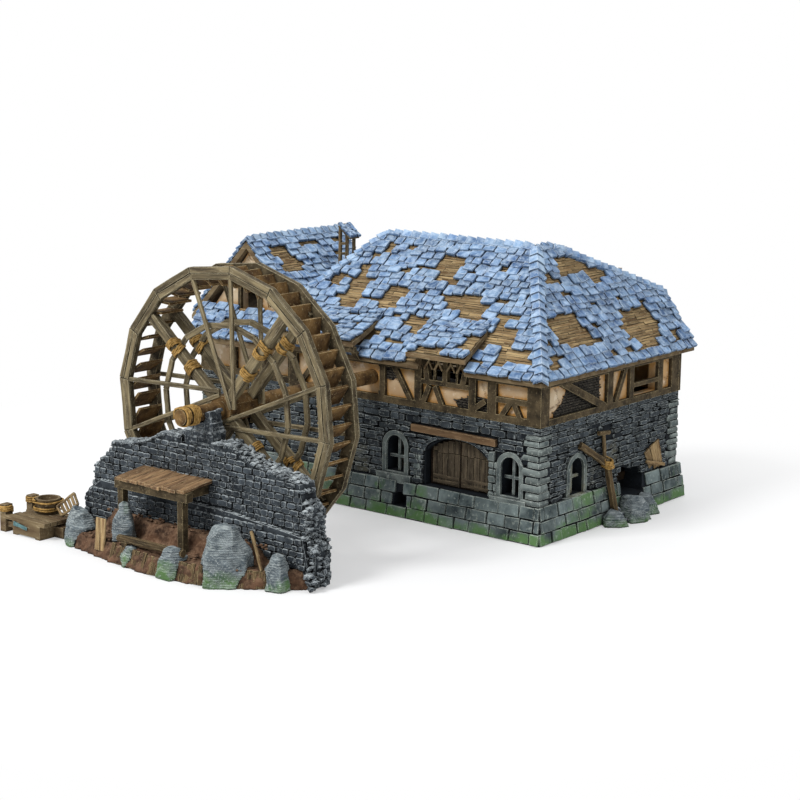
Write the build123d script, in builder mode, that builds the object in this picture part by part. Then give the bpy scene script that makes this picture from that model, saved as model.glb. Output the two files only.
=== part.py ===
from build123d import *
import math
import os

os.makedirs("parts", exist_ok=True)

# Tabletop watermill. X runs along the gate front, Y into the house, Z up, millimetres.
# The origin is the front right corner of the house walls at table level.
front_len = 235.0
depth = 140.0
rear_len = 187.0
rear_x = -115.0
wall = 12.0
skin = 6.0
floor_z = 27.0
stone_z = 85.0
eave_z = 118.0
ridge_z = 201.0
ridge_y = 70.0
hip_x = -55.0
eave_out = 8.0
right_out = 6.0
roof_drop = 5.6

wing_x0, wing_x1 = -336.0, -235.0
wing_y0, wing_y1 = 8.0, 112.0
wing_ridge_x = -285.0
wing_ridge_z = 194.0
wing_slope = 65.0 / 61.0

gate_x0, gate_x1 = -101.0, -43.0
gate_mid = (gate_x0 + gate_x1) / 2
gate_spring = 53.0
gate_top = 65.5
# Each leaf turns on a round heel post with a pin at its foot and its head, inside a rebate behind the arch.
heel_y, heel_r = 7.4, 1.9
heel_x = (gate_x0 + 1.6, gate_x1 - 1.6)
pin_r, pin_len = 1.2, 2.5
rebate_y, rebate_side, rebate_top = 5.2, 0.6, 67.5

wheel_x, wheel_z = -153.0, 102.5
wheel_r = 100.0
wheel_near, wheel_far = -165.0, -135.0
rim_t = 4.0
axle_r = 5.5
fit = 0.05
facets = 16

yard_wall_y0, yard_wall_y1 = -192.0, -173.0
ledge_t = 4.0


def block(x0, x1, y0, y1, z0, z1):
    with BuildPart() as b:
        with Locations(((x0 + x1) / 2, (y0 + y1) / 2, (z0 + z1) / 2)):
            Box(x1 - x0, y1 - y0, z1 - z0)
    return b.part


def prism_y(points, y0, y1):
    """A polygon given in X and Z, run along Y."""
    with BuildPart() as b:
        with BuildSketch(Plane.XZ.offset(-y1)):
            Polygon(*points, align=None)
        extrude(amount=y1 - y0)
    return b.part


def prism_x(points, x0, x1):
    """A polygon given in Y and Z, run along X."""
    with BuildPart() as b:
        with BuildSketch(Plane.YZ.offset(x0)):
            Polygon(*points, align=None)
        extrude(amount=x1 - x0)
    return b.part


def prism_z(points, z0, z1, taper=0.0):
    with BuildPart() as b:
        with BuildSketch(Plane.XY.offset(z0)):
            Polygon(*points, align=None)
        extrude(amount=z1 - z0, taper=taper)
    return b.part


def beam_xz(p, q, width, y0, y1):
    """A straight timber between two points in X and Z."""
    (x0, z0), (x1, z1) = p, q
    run = math.hypot(x1 - x0, z1 - z0)
    nx, nz = -(z1 - z0) / run * width / 2, (x1 - x0) / run * width / 2
    return prism_y([(x0 + nx, z0 + nz), (x1 + nx, z1 + nz), (x1 - nx, z1 - nz), (x0 - nx, z0 - nz)], y0, y1)


def beam_yz(p, q, width, x0, x1):
    (y0, z0), (y1, z1) = p, q
    run = math.hypot(y1 - y0, z1 - z0)
    ny, nz = -(z1 - z0) / run * width / 2, (y1 - y0) / run * width / 2
    return prism_x([(y0 + ny, z0 + nz), (y1 + ny, z1 + nz), (y1 - ny, z1 - nz), (y0 - ny, z0 - nz)], x0, x1)


def arch_y(x0, x1, z0, spring, top, y0, y1):
    """An arched opening in a front wall."""
    with BuildPart() as b:
        with BuildSketch(Plane.XZ.offset(-y1)):
            with BuildLine():
                Polyline((x0, spring), (x0, z0), (x1, z0), (x1, spring))
                ThreePointArc((x1, spring), ((x0 + x1) / 2, top), (x0, spring))
            make_face()
        extrude(amount=y1 - y0)
    return b.part


def arch_x(y0, y1, z0, spring, top, x0, x1):
    with BuildPart() as b:
        with BuildSketch(Plane.YZ.offset(x0)):
            with BuildLine():
                Polyline((y0, spring), (y0, z0), (y1, z0), (y1, spring))
                ThreePointArc((y1, spring), ((y0 + y1) / 2, top), (y0, spring))
            make_face()
        extrude(amount=x1 - x0)
    return b.part


def pin_y(x, z0, z1, radius):
    """An upright round pin on the heel line of a gate leaf."""
    with BuildPart() as pin:
        with BuildSketch(Plane.XY.offset(z0)):
            with Locations((x, heel_y)):
                Circle(radius)
        extrude(amount=z1 - z0)
    return pin.part


def union(pieces, cut=()):
    with BuildPart() as b:
        for piece in pieces:
            add(piece)
        for piece in cut:
            add(piece, mode=Mode.SUBTRACT)
    return b.part


def loose(pieces):
    """Pieces of one sub-part that touch but stay separate solids."""
    return Compound(children=[solid for piece in pieces for solid in piece.solids()])


def save(part, name):
    part.label = name
    export_step(part, "parts/" + name + ".step")


# Roof envelopes: solids whose top faces are the roof planes, lowered by drop for the underside.
front_slope = (ridge_z - eave_z) / (ridge_y + eave_out)
right_slope = (ridge_z - eave_z) / (right_out - hip_x)
rear_end_y = 204.0
half_hip_y = 92.0
half_hip_z = 157.0
left_hip_x, left_eave_x = -195.0, -281.0


def main_envelope(drop):
    base = eave_z - 3.0 - (20.0 if drop else 0.0)
    back_y = 2 * ridge_y + eave_out
    edge = eave_z - drop
    top = ridge_z - drop
    along_x = prism_x([(-eave_out, base), (back_y, base), (back_y, edge), (ridge_y, top), (-eave_out, edge)],
                      left_eave_x - 4, right_out + 4)
    ends = prism_y([(left_eave_x, base), (right_out, base), (right_out, edge), (hip_x, top + 0.01),
                    (left_hip_x, top + 0.01), (left_eave_x, edge)], -eave_out - 4, back_y + 4)
    with BuildPart() as front_range:
        add(along_x)
        add(ends, mode=Mode.INTERSECT)
    west = 2 * hip_x - right_out
    along_y = prism_y([(west, base), (right_out, base), (right_out, edge), (hip_x, top), (west, edge)],
                      -eave_out, rear_end_y)
    profile = prism_x([(-eave_out, base), (rear_end_y, base), (rear_end_y, half_hip_z - drop),
                       (half_hip_y, top - 1.0), (ridge_y, top + 0.01), (-eave_out, edge)], west - 4, right_out + 4)
    with BuildPart() as rear_range:
        add(along_y)
        add(profile, mode=Mode.INTERSECT)
    return union([front_range.part, rear_range.part])


def wing_envelope(drop):
    base = 126.0 - (20.0 if drop else 0.0)
    half = 61.0
    edge = wing_ridge_z - half * wing_slope - drop
    x0, x1 = wing_ridge_x - half, wing_ridge_x + half
    pad = 4.0 if drop else 0.0
    return prism_y([(x0, base), (x1, base), (x1, edge), (wing_ridge_x, wing_ridge_z - drop), (x0, edge)],
                   wing_y0 - 6.0 - pad, wing_y1 + 6.0 + pad)


def front_roof_z(y):
    return eave_z + (y + eave_out) * front_slope


main_outer = main_envelope(0.0)
main_inner = main_envelope(roof_drop)
wing_outer = wing_envelope(0.0)
wing_inner = wing_envelope(roof_drop)

# Plinth of big battered blocks with the ground floor inside it.
hole_points = [(105, 14), (121, 12.5), (134, 15), (137, 26), (133, 36), (124, 33), (113, 37), (104, 33)]
plan_outer = [(wing_x0, wing_y0), (wing_x1, wing_y0), (wing_x1, 0), (0, 0), (0, rear_len), (rear_x, rear_len),
              (rear_x, depth), (wing_x1, depth), (wing_x1, wing_y1), (wing_x0, wing_y1)]
o = 8.0
plan_foot = [(wing_x0 - o, wing_y0 - o), (wing_x1 - o, wing_y0 - o), (wing_x1 - o, -o), (o, -o), (o, rear_len + o),
             (rear_x - o, rear_len + o), (rear_x - o, depth + o), (wing_x1 - o, depth + o),
             (wing_x1 - o, wing_y1 + o), (wing_x0 - o, wing_y1 + o)]
main_room = [(-front_len + wall, wall), (-wall, wall), (-wall, rear_len - wall), (rear_x + wall, rear_len - wall),
             (rear_x + wall, depth - wall), (-front_len + wall, depth - wall)]
wing_room = [(wing_x0 + wall, wing_y0 + wall), (wing_x1 - 2, wing_y0 + wall), (wing_x1 - 2, wing_y1 - wall),
             (wing_x0 + wall, wing_y1 - wall)]


def plinth_part():
    shell = prism_z(plan_foot, 0, floor_z, taper=math.degrees(math.atan(5.0 / floor_z)))
    rooms = [prism_z(main_room, -1, floor_z + 1), prism_z(wing_room, -1, floor_z + 1)]
    drain = arch_y(-127, -115, 8, 15, 19, -20, 6)
    hole = prism_x(hole_points, -wall - 5, 12)
    sockets = [pin_y(x, floor_z - pin_len - 0.3, floor_z + 1, pin_r + fit) for x in heel_x]
    return union([shell], rooms + [drain, hole] + sockets)


def ground_floor_part():
    return union([prism_z(main_room, floor_z - 6, floor_z), prism_z(wing_room, floor_z - 6, floor_z)])


# Window openings of the front and the right wall: x0, x1, sill, spring, top.
front_windows = [(-137.5, -120.0, 33.0, 53.0, 61.0), (-31.5, -15.0, 31.0, 52.0, 60.0)]
right_window = (38.0, 57.0, 27.5, 46.0, 55.0)


def front_opening(w, grow, y0, y1):
    x0, x1, sill, spring, top = w
    return arch_y(x0 - grow, x1 + grow, sill - grow, spring, top + grow, y0, y1)


def right_opening(grow, x0, x1):
    y0, y1, sill, spring, top = right_window
    return arch_x(y0 - grow, y1 + grow, sill - grow, spring, top + grow, x0, x1)


quoin_proud = 2.0
quoin_long, quoin_short = 14.0, 8.5
bond_proud = 1.4


def corner_stones(x, y, out_x, out_y, long_x=quoin_long, long_y=quoin_long):
    """Long and short stones laid in turn up an outer corner, standing proud of both faces."""
    stones = []
    count = 6
    height = (stone_z - floor_z) / count
    for i in range(count):
        run_x, run_y = (long_x, quoin_short) if i % 2 else (quoin_short, long_y)
        x0, x1 = sorted((x + out_x * quoin_proud, x - out_x * run_x))
        y0, y1 = sorted((y + out_y * quoin_proud, y - out_y * run_y))
        stones.append(block(x0, x1, y0, y1, floor_z + i * height + 0.4, floor_z + (i + 1) * height - 0.4))
    return stones


def bond_stones(places, axis, face, out):
    """Through stones that stand out of a wall face: places are (run, height) pairs of their centres."""
    near, far = sorted((face - out * 2.0, face + out * bond_proud))
    stones = []
    for run, z in places:
        if axis == "x":
            stones.append(block(run - 5.5, run + 5.5, near, far, z - 2.8, z + 2.8))
        else:
            stones.append(block(near, far, run - 5.5, run + 5.5, z - 2.8, z + 2.8))
    return stones


def front_wall_left_part():
    body = block(-front_len, gate_x0, 0, wall, floor_z, stone_z)
    bonds = bond_stones([(-222, 44), (-196, 62), (-172, 42), (-160, 70), (-112, 76), (-148, 50)], "x", 0, -1)
    rebate = block(gate_x0 - rebate_side, gate_x0 + 1, rebate_y, wall + 1, floor_z - 1, rebate_top)
    return union([body] + bonds, [front_opening(front_windows[0], 0, -5, wall + 5), rebate])


def front_wall_right_part():
    body = block(gate_x1, 0, 0, wall, floor_z, stone_z)
    rebate = block(gate_x1 - 1, gate_x1 + rebate_side, rebate_y, wall + 1, floor_z - 1, rebate_top)
    return union([body] + corner_stones(0, 0, 1, -1, long_y=wall), [front_opening(front_windows[1], 0, -5, wall + 5), rebate])


def front_wall_over_gate_part():
    body = block(gate_x0, gate_x1, 0, wall, gate_spring, stone_z)
    arch = arch_y(gate_x0, gate_x1, 20, gate_spring, gate_top, -5, wall + 5)
    rebate = block(gate_x0 - 1, gate_x1 + 1, rebate_y, wall + 1, floor_z, rebate_top)
    sockets = [pin_y(x, rebate_top - 1, rebate_top + pin_len + 0.3, pin_r + fit) for x in heel_x]
    return union([body], [arch, rebate] + sockets)


def right_wall_part():
    body = union([block(-wall, 0, wall, rear_len, floor_z, stone_z)] + corner_stones(0, rear_len, 1, 1, long_x=wall)
                 + bond_stones([(22, 66), (28, 40), (68, 36), (72, 76), (104, 62), (128, 74), (128, 50), (158, 66)],
                               "y", 0, 1))
    cuts = [right_opening(0, -wall - 5, 5), prism_x(hole_points, -wall - 5, 5),
            block(-wall - 5, 5, 144, 172, 31, 48)]
    return union([body], cuts)


def back_wall_part():
    west = block(-front_len, -front_len + wall, wall, depth, floor_z, stone_z)
    back = block(-front_len + wall, rear_x, depth - wall, depth, floor_z, stone_z)
    turn = block(rear_x, rear_x + wall, depth - wall, rear_len, floor_z, stone_z)
    end = block(rear_x + wall, -wall, rear_len - wall, rear_len, floor_z, stone_z)
    passage = arch_x(48, 78, 20, 56, 66, -front_len - 5, -front_len + wall + 5)
    windows = [arch_y(-190, -172, 40, 58, 66, depth - wall - 5, depth + 5),
               arch_y(-68, -50, 40, 58, 66, rear_len - wall - 5, rear_len + 5)]
    stones = (corner_stones(rear_x, rear_len, -1, 1) + corner_stones(-front_len, depth, -1, 1)
              + bond_stones([(-36, 44), (-22, 70), (-86, 64), (-98, 40), (-62, 76)], "x", rear_len, 1)
              + bond_stones([(-140, 46), (-152, 70), (-206, 66), (-218, 42)], "x", depth, 1)
              + bond_stones([(166, 60)], "y", rear_x, -1) + bond_stones([(126, 56)], "y", -front_len, -1))
    return union([west, back, turn, end] + stones, [passage] + windows)


def wing_wall_part():
    front = block(wing_x0, wing_x1, wing_y0, wing_y0 + wall, floor_z, stone_z)
    west = block(wing_x0, wing_x0 + wall, wing_y0, wing_y1, floor_z, stone_z)
    back = block(wing_x0, wing_x1, wing_y1 - wall, wing_y1, floor_z, stone_z)
    cuts = [arch_x(50, 66, 42, 58, 66, wing_x0 - 5, wing_x0 + wall + 5),
            arch_y(-300, -284, 42, 58, 66, wing_y0 - 5, wing_y0 + wall + 5)]
    stones = (corner_stones(wing_x0, wing_y0, -1, -1) + corner_stones(wing_x0, wing_y1, -1, 1)
              + bond_stones([(-318, 54), (-268, 64), (-252, 42)], "x", wing_y0, -1)
              + bond_stones([(32, 60), (82, 46), (94, 72)], "y", wing_x0, -1)
              + bond_stones([(-312, 60), (-282, 42), (-254, 68)], "x", wing_y1, 1))
    return union([front, west, back] + stones, cuts)


def upper_floor_part():
    z0, z1 = stone_z - 5, stone_z
    boards = block(-front_len + wall, -wall, wall, 108, z0, z1)
    strip = block(-70, -wall, 108, rear_len - wall, z0, z1)
    room = block(wing_x0 + wall, wing_x1, wing_y0 + wall, wing_y1 - wall, z0, z1)
    return union([boards, strip, room])


# Timber storey: thin plastered walls with the timber frame laid on their outer faces.
frame_t = 3.0
dormer_x0, dormer_x1 = -104.0, -61.0
dormer_sill, dormer_head = 104.0, 126.0
front_lights = [(-101.0, -84.5), (-80.5, -64.0)]


def front_infill_part():
    body = block(-front_len, 0, 0, skin, stone_z, eave_z)
    dormer = block(dormer_x0, dormer_x1, -5, skin + 5, dormer_sill, 140)
    with BuildPart() as bearing:
        with BuildSketch(Plane.XZ.offset(-(skin + 5))):
            with Locations((wheel_x, wheel_z)):
                Circle(axle_r + fit)
        extrude(amount=skin + 10)
    return union([body], [dormer, bearing.part])


def front_frame_part():
    y0, y1 = -frame_t, 0.0
    z0, z1 = stone_z, eave_z - 1.0
    pieces = [block(-front_len, 0, y0, y1, z0, z0 + 5), block(-front_len, dormer_x0, y0, y1, z1 - 4.5, z1),
              block(dormer_x1, 0, y0, y1, z1 - 4.5, z1)]
    for x, w in ((-231, 8), (-196, 6), (-142, 6), (-107.5, 6.5), (-40, 7.5), (-57.5, 6)):
        pieces.append(block(x - w / 2, x + w / 2, y0, y1, z0, z1))
    pieces.append(block(-9, 3, y0, y1, z0, z1))
    pieces.append(block(0, frame_t, 0, 8, z0, z1))
    pieces.append(block(-36, -9, y0, y1, 99, 103))
    for p, q in (((-132, 116), (-113, 87)), ((-92, 103), (-84, 87)), ((-62, 87), (-46, 98)), ((-33, 87), (-24, 100)),
                 ((-14, 87), (-21, 100)), ((-226, 87), (-202, 115)), ((-190, 115), (-170, 87)), ((-104, 87), (-97, 103))):
        pieces.append(beam_xz(p, q, 4, y0, y1))
    hole = block(wheel_x - 9, wheel_x + 9, -20, 20, wheel_z - 9, wheel_z + 9)
    clear = block(-400, 100, -20, 20, eave_z - 1, 400)
    window = block(dormer_x0, dormer_x1, -20, 20, dormer_sill, 400)
    return union(pieces, [hole, clear, window, main_roof])


def right_infill_part():
    body = block(-skin, 0, skin, rear_len, stone_z, eave_z)
    bay = block(-skin - 5, 5, 121, 156, 90, 112)
    return union([body], [bay])


def right_frame_part():
    x0, x1 = 0.0, frame_t
    z0, z1 = stone_z, eave_z - 1.0
    pieces = [block(x0, x1, 8, rear_len, z0, z0 + 4.5), block(x0, x1, 8, rear_len, z1 - 4.5, z1)]
    for y, w in ((88, 7.5), (118, 5.5), (159.5, 7), (181.5, 11)):
        pieces.append(block(x0, x1, y - w / 2, y + w / 2, z0, z1))
    pieces.append(beam_yz((24, 114), (82, 88), 5.5, x0, x1))
    pieces.append(beam_yz((97, 89), (110, 114), 4, x0, x1))
    pieces.append(block(x0, x1, 120, 157, 97, 100))
    return union(pieces, [block(-20, 20, -50, 300, eave_z - 1, 400), main_roof])


def back_infill_part():
    back = block(-front_len, rear_x, depth - skin, depth, stone_z, eave_z)
    turn = block(rear_x, rear_x + skin, depth - skin, rear_len, stone_z, eave_z)
    end = block(rear_x + skin, -skin, rear_len - skin, rear_len, stone_z, eave_z)
    west = block(-front_len, -front_len + skin, skin, depth - skin, stone_z, eave_z)
    gable = prism_y([(rear_x, eave_z), (0, eave_z), (-5, 126), (-24, 147), (-86, 147), (-105, 126)],
                    rear_len - skin, rear_len)
    openings = [block(-215, -165, depth - skin - 5, depth + 5, 89, 112),
                block(-66, -44, rear_len - skin - 5, rear_len + 5, 95, 118),
                block(-front_len - 5, -front_len + skin + 5, 50, 80, 85, 118)]
    return union([back, turn, end, west, gable], openings + [main_top()])


def main_top():
    """Everything above the underside of the roof boards."""
    return union([block(-400, 60, -40, 260, 60, 300)], [main_inner, block(-420, 80, -60, 280, 40, eave_z - 8)])


def back_frame_part():
    y0, y1 = depth, depth + frame_t
    z0, z1 = stone_z, eave_z - 3.0
    pieces = [block(-front_len, rear_x - frame_t, y0, y1, z0, z0 + 5),
              block(-front_len, rear_x - frame_t, y0, y1, z1 - 4.5, z1)]
    for x in (-231, -218.5, -161.5, -140):
        pieces.append(block(x - 3.5, x + 3.5, y0, y1, z0, z1))
    pieces.append(block(rear_x - frame_t, rear_x, depth, rear_len, z0, z0 + 5))
    pieces.append(block(rear_x - frame_t, rear_x, rear_len - 8, rear_len, z0, z1))
    y2, y3 = rear_len, rear_len + frame_t
    pieces.append(block(rear_x - frame_t, frame_t, y2, y3, z0, z0 + 5))
    pieces.append(block(rear_x - frame_t, frame_t, y2, y3, z1 - 2, z1 + 3))
    for x in (-114, -70, -40, -1):
        pieces.append(block(x - 4, x + 4, y2, y3, z0, z1))
    pieces.append(beam_xz((-108, 90), (-76, 113), 5, y2, y3))
    pieces.append(beam_xz((-6, 90), (-36, 113), 5, y2, y3))
    return union(pieces, [main_roof])


def wing_infill_part():
    z0, z1 = stone_z, 126.0
    front = block(wing_x0, wing_x1, wing_y0, wing_y0 + skin, z0, z1)
    west = block(wing_x0, wing_x0 + skin, wing_y0 + skin, wing_y1 - skin, z0, z1)
    back = block(wing_x0, wing_x1, wing_y1 - skin, wing_y1, z0, z1)
    gable = [(wing_x0, z1), (wing_x1, z1), (wing_ridge_x, z1 + 62)]
    gables = [prism_y(gable, wing_y0, wing_y0 + skin), prism_y(gable, wing_y1 - skin, wing_y1)]
    above = union([block(-400, -180, -30, 160, 100, 300)], [wing_inner, block(-420, -160, -50, 180, 90, 127)])
    cuts = [block(-294, -276, wing_y0 - 5, wing_y0 + skin + 5, 136, 156),
            block(wing_x0 - 5, wing_x0 + skin + 5, 48, 74, 95, 116),
            block(-296, -274, wing_y1 - skin - 5, wing_y1 + 5, 98, 120), above, main_outer]
    return union([front, west, back] + gables, cuts)


def wing_frame_part():
    y0, y1 = wing_y0 - frame_t, wing_y0
    pieces = [block(wing_x0 - frame_t, wing_x1, y0, y1, 85, 90), block(wing_x0 - frame_t, wing_x1, y0, y1, 121, 126)]
    for x in (-335, -303, -268, -240):
        pieces.append(block(x - 3.5, x + 3.5, y0, y1, 85, 126))
    pieces += [block(-297, -294, y0, y1, 126, 162), block(-276, -273, y0, y1, 126, 162),
               block(-312, -258, y0, y1, 157, 161)]
    x0, x1 = wing_x0 - frame_t, wing_x0
    pieces += [block(x0, x1, wing_y0, wing_y1, 85, 90), block(x0, x1, wing_y0, wing_y1, 120, 124)]
    for y in (44, 78, 108):
        pieces.append(block(x0, x1, y - 3.5, y + 3.5, 85, 122))
    y2, y3 = wing_y1, wing_y1 + frame_t
    pieces += [block(x0, wing_x1, y2, y3, 85, 90), block(x0, wing_x1, y2, y3, 120, 125)]
    for x in (-335, -300, -270, -239):
        pieces.append(block(x - 3.5, x + 3.5, y2, y3, 85, 122))
    above = union([block(-400, -180, -30, 160, 100, 300)], [wing_inner, block(-420, -160, -50, 180, 90, 127)])
    return union(pieces, [above, main_outer])


# Catslide pieces that rise out of the front slope.
def catslide(x0, x1, y0, z0, y1, z1, t):
    return prism_x([(y0, z0), (y1, z1), (y1, z1 - t), (y0, z0 - t)], x0, x1)


dormer_roof_line = (-13.0, 128.5, 21.0, 150.5)
canopy_line = (-19.0, 130.5, 18.0, 147.0)


def main_roof_part():
    dormer = block(dormer_x0, dormer_x1, -30, 19, 100, 146)
    skirt = block(-400, -240, -30, 5, 100, 300)
    return union([main_outer], [main_inner, wing_inner, dormer, skirt])


def wing_roof_part():
    return union([wing_outer], [wing_inner, main_outer])


def dormer_roof_part():
    y0, z0, y1, z1 = dormer_roof_line
    slab = catslide(dormer_x0 - 6, dormer_x1 + 4, y0, z0, y1, z1, 4.0)
    return union([slab], [main_outer])


def dormer_frame_part():
    y0, y1 = -frame_t, 0.0
    pieces = [block(dormer_x0, dormer_x1, y0, y1 + 1, dormer_sill, dormer_sill + 3.5),
              block(dormer_x0, dormer_x1, y0, y1 + 1, 122.5, 127.2)]
    pieces.append(beam_xz((-103, 127), (-98, 104), 4.5, y0, y1 + 1))
    pieces.append(beam_xz((-62, 127), (-67, 104), 4.5, y0, y1 + 1))
    pieces.append(block(-84.5, -80.5, y0, y1 + 1, dormer_sill, 126))
    for x0, x1 in front_lights:
        mid = (x0 + x1) / 2
        pieces.append(block(mid - 0.8, mid + 0.8, y0 + 1, y1, dormer_sill, 125))
    cheek = [(y1 + 1, eave_z), (y1 + 1, 127), (21, 148), (21, eave_z)]
    for x in (dormer_x0, dormer_x1 - 3):
        pieces.append(prism_x(cheek, x, x + 3))
    y, z, yy, zz = dormer_roof_line
    above = prism_x([(y, z - 4), (yy, zz - 4), (yy, 200), (y, 200)], -140, -30)
    limits = block(-140, -30, -30, 60, 40, dormer_sill)
    outside = union([block(-140, -30, -30, 60, 60, 200)], [block(dormer_x0, dormer_x1, -20, 19, 60, 200)])
    return union(pieces, [above, limits, outside])


def canopy_roof_part():
    y0, z0, y1, z1 = canopy_line
    slab = catslide(-238, -157, y0, z0, y1, z1, 4.0)
    return union([slab], [main_outer, wing_outer])


def canopy_bracket_part():
    pieces = []
    for x in (-236, -200, -163):
        pieces.append(prism_x([(-8.05, 119), (-16, 127), (-16, 124), (-10, 116), (-8.05, 116)], x, x + 5))
    pieces.append(block(-238, -157, -17.5, -14.5, 122, 126.5))
    y0, z0, y1, z1 = canopy_line
    above = prism_x([(y0, z0 - 4), (y1, z1 - 4), (y1, 200), (y0, 200)], -260, -140)
    return union(pieces, [above, main_outer])


def pent_roof_part():
    slab = catslide(-333, -241, -16, 117, 5, 140, 4.5)
    brace = [prism_x([(5, 108), (5, 124), (-12, 115)], x, x + 4) for x in (-330, -288, -248)]
    under = prism_x([(-16, 112.5), (5, 135.5), (5, 200), (-16, 200)], -400, -200)
    arms = union(brace, [under])
    return union([slab, arms], [main_roof, wing_outer, canopy_wedge()])


def canopy_wedge():
    y0, z0, y1, z1 = canopy_line
    return catslide(-238, -157, y0, z0, y1, z1, 4.0)


def cap_run(p, q, width, lift):
    """A strip of cap tiles laid along a ridge or hip from p to q."""
    a, b = Vector(*p), Vector(*q)
    axis = (b - a).normalized()
    side = Vector(0, 0, 1).cross(axis).normalized()
    plane = Plane(origin=a, x_dir=side, z_dir=axis)
    w = width / 2
    with BuildPart() as cap:
        with BuildSketch(plane):
            Polygon((-w, -w * 0.75), (-w * 0.55, lift * 0.7), (0, lift), (w * 0.55, lift * 0.7), (w, -w * 0.75),
                    (0, -w * 0.9), align=None)
        extrude(amount=(b - a).length)
    return cap.part


def roof_caps_part():
    ridge = (hip_x, ridge_y, ridge_z)
    corner = (right_out, -eave_out, eave_z)
    runs = [cap_run((left_hip_x - 1, ridge_y, ridge_z), (hip_x + 1, ridge_y, ridge_z), 9, 3.2),
            cap_run(ridge, (hip_x, half_hip_y, ridge_z - 1), 9, 3.2),
            cap_run((right_out - 1, -eave_out + 1.3, eave_z + 1.5), ridge, 9, 3.4),
            cap_run((left_eave_x + 20, 10.0, 137.5), (left_hip_x, ridge_y, ridge_z), 8, 2.6),
            cap_run((wing_ridge_x, wing_y0 - 6, wing_ridge_z), (wing_ridge_x, wing_y1 + 6, wing_ridge_z), 9, 3.2)]
    low = block(-400, 100, -100, 300, 0, 119)
    return union(runs, [main_outer, wing_outer, low])


def roof_hood_part():
    """A small tiled vent hood on four posts, on the right slope of the wing."""
    posts = [block(x, x + 2.6, y, y + 2.6, 120, 206) for x in (-250.0, -241.6) for y in (73.5, 80.0)]
    cap = prism_y([(-252, 204.5), (-237, 195.5), (-237, 198), (-249, 207.5), (-252, 207.5)], 71.5, 84.5)
    rails = [block(-249, -240, y, y + 1.6, 184, 186.5) for y in (74.0, 80.5)]
    above = prism_y([(-262, 210.5), (-252, 204.5), (-237, 195.5), (-226, 188.9), (-226, 260), (-262, 260)], 50, 100)
    return union([union(posts + rails, [above]), cap], [main_outer, wing_outer])


def window_frames_part():
    pieces = []
    for w in front_windows:
        x0, x1, sill, spring, top = w
        ring = union([front_opening(w, 3.6, -2.2, 0)], [front_opening(w, 0, -5, 5)])
        ledge = block(x0 - 8, x1 + 7, -4, 0, sill - 8, sill - 1.5)
        bars = [block((x0 + x1) / 2 - 1, (x0 + x1) / 2 + 1, 3, 5, sill, top - 1), block(x0, x1, 3, 5, 43, 45)]
        pieces += [ring, ledge, union(bars, [union([block(x0 - 30, x1 + 30, 2, 6, 10, 90)],
                                                   [front_opening(w, 0, -5, 10)])])]
    y0, y1, sill, spring, top = right_window
    ring = union([right_opening(3.6, 0, 2.2)], [right_opening(0, -5, 5)])
    ledge = block(0, 4, y0 - 7, y1 + 7, sill - 5, sill - 0.2)
    bars = [block(-5, -3, (y0 + y1) / 2 - 1, (y0 + y1) / 2 + 1, sill, top - 1), block(-5, -3, y0, y1, 39, 41)]
    pieces += [ring, ledge, union(bars, [union([block(-6, -2, y0 - 30, y1 + 30, 10, 90)],
                                               [right_opening(0, -10, 5)])])]
    return union(pieces, [plinth, front_wall_right])


def gate_lintel_part():
    return prism_y([(-113, 67), (-113, 72), (-36, 71), (-36, 66)], -3.5, 0)


def gate_leaf(x0, x1, pivot):
    """Half of the arched gate, hung on a round heel post that pins the leaf at its foot and its head."""
    body = arch_y(gate_x0 + 1, gate_x1 - 1, floor_z + 0.6, gate_spring - 0.4, gate_top - 1.6,
                  heel_y - heel_r, heel_y + heel_r)
    half = union([body], [union([block(-160, 0, 0, wall, 0, 90)], [block(x0, x1, -1, wall + 1, -1, 91)])])
    heel = pin_y(pivot, floor_z + 0.2, rebate_top - 0.2, heel_r)
    pins = [pin_y(pivot, floor_z - pin_len, floor_z + 1, pin_r), pin_y(pivot, rebate_top - 1, rebate_top + pin_len, pin_r)]
    return union([half, heel] + pins)


def wall_prop_part():
    upright = prism_y([(0.0, 66), (4.5, 66), (15, 0), (9.5, 0)], 84, 91)
    cap = block(0, 7, 80, 95, 66, 71)
    arm = beam_yz((46, 64), (84, 44), 5, 0.0, 4.0)
    return union([upright, cap, union([arm], [upright])], [plinth, right_ring()])


def right_ring():
    return right_opening(3.6, 0, 2.2)


def shutter_boards_part():
    boards = []
    for i, (y, tilt) in enumerate(((145, -1.0), (152, 0.8), (159, -0.4), (166, 1.2), (172.5, 0.2))):
        boards.append(prism_x([(y - 3, 29 + (i % 2)), (y + 3, 29.5), (y + 3 + tilt, 50 - (i % 3)), (y - 3 + tilt, 50)],
                              0, 2.5))
    boards.append(block(2.5, 4.5, 141, 176, 43, 46))
    return union(boards, [right_wall])


def rock(x, y, z0, size, height, turn, sides=7):
    """A faceted stone: a rough polygon that narrows upward in two steps."""
    ring = []
    for i in range(sides):
        a = math.radians(turn + 360.0 * i / sides)
        r = size * (1 + 0.16 * math.sin(2.3 * i + turn))
        ring.append((x + r * math.cos(a), y + r * math.sin(a) * 0.82))
    mid = [(x + (px - x) * 0.86, y + (py - y) * 0.86) for px, py in ring]
    top = [(x + (px - x) * 0.42, y + (py - y) * 0.42) for px, py in ring]
    with BuildPart() as stone:
        for z, pts in ((z0, ring), (z0 + height * 0.55, mid)):
            with BuildSketch(Plane.XY.offset(z)):
                Polygon(*pts, align=None)
        loft(ruled=True)
        for z, pts in ((z0 + height * 0.55, mid), (z0 + height, top)):
            with BuildSketch(Plane.XY.offset(z)):
                Polygon(*pts, align=None)
        loft(ruled=True)
    return stone.part


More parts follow.
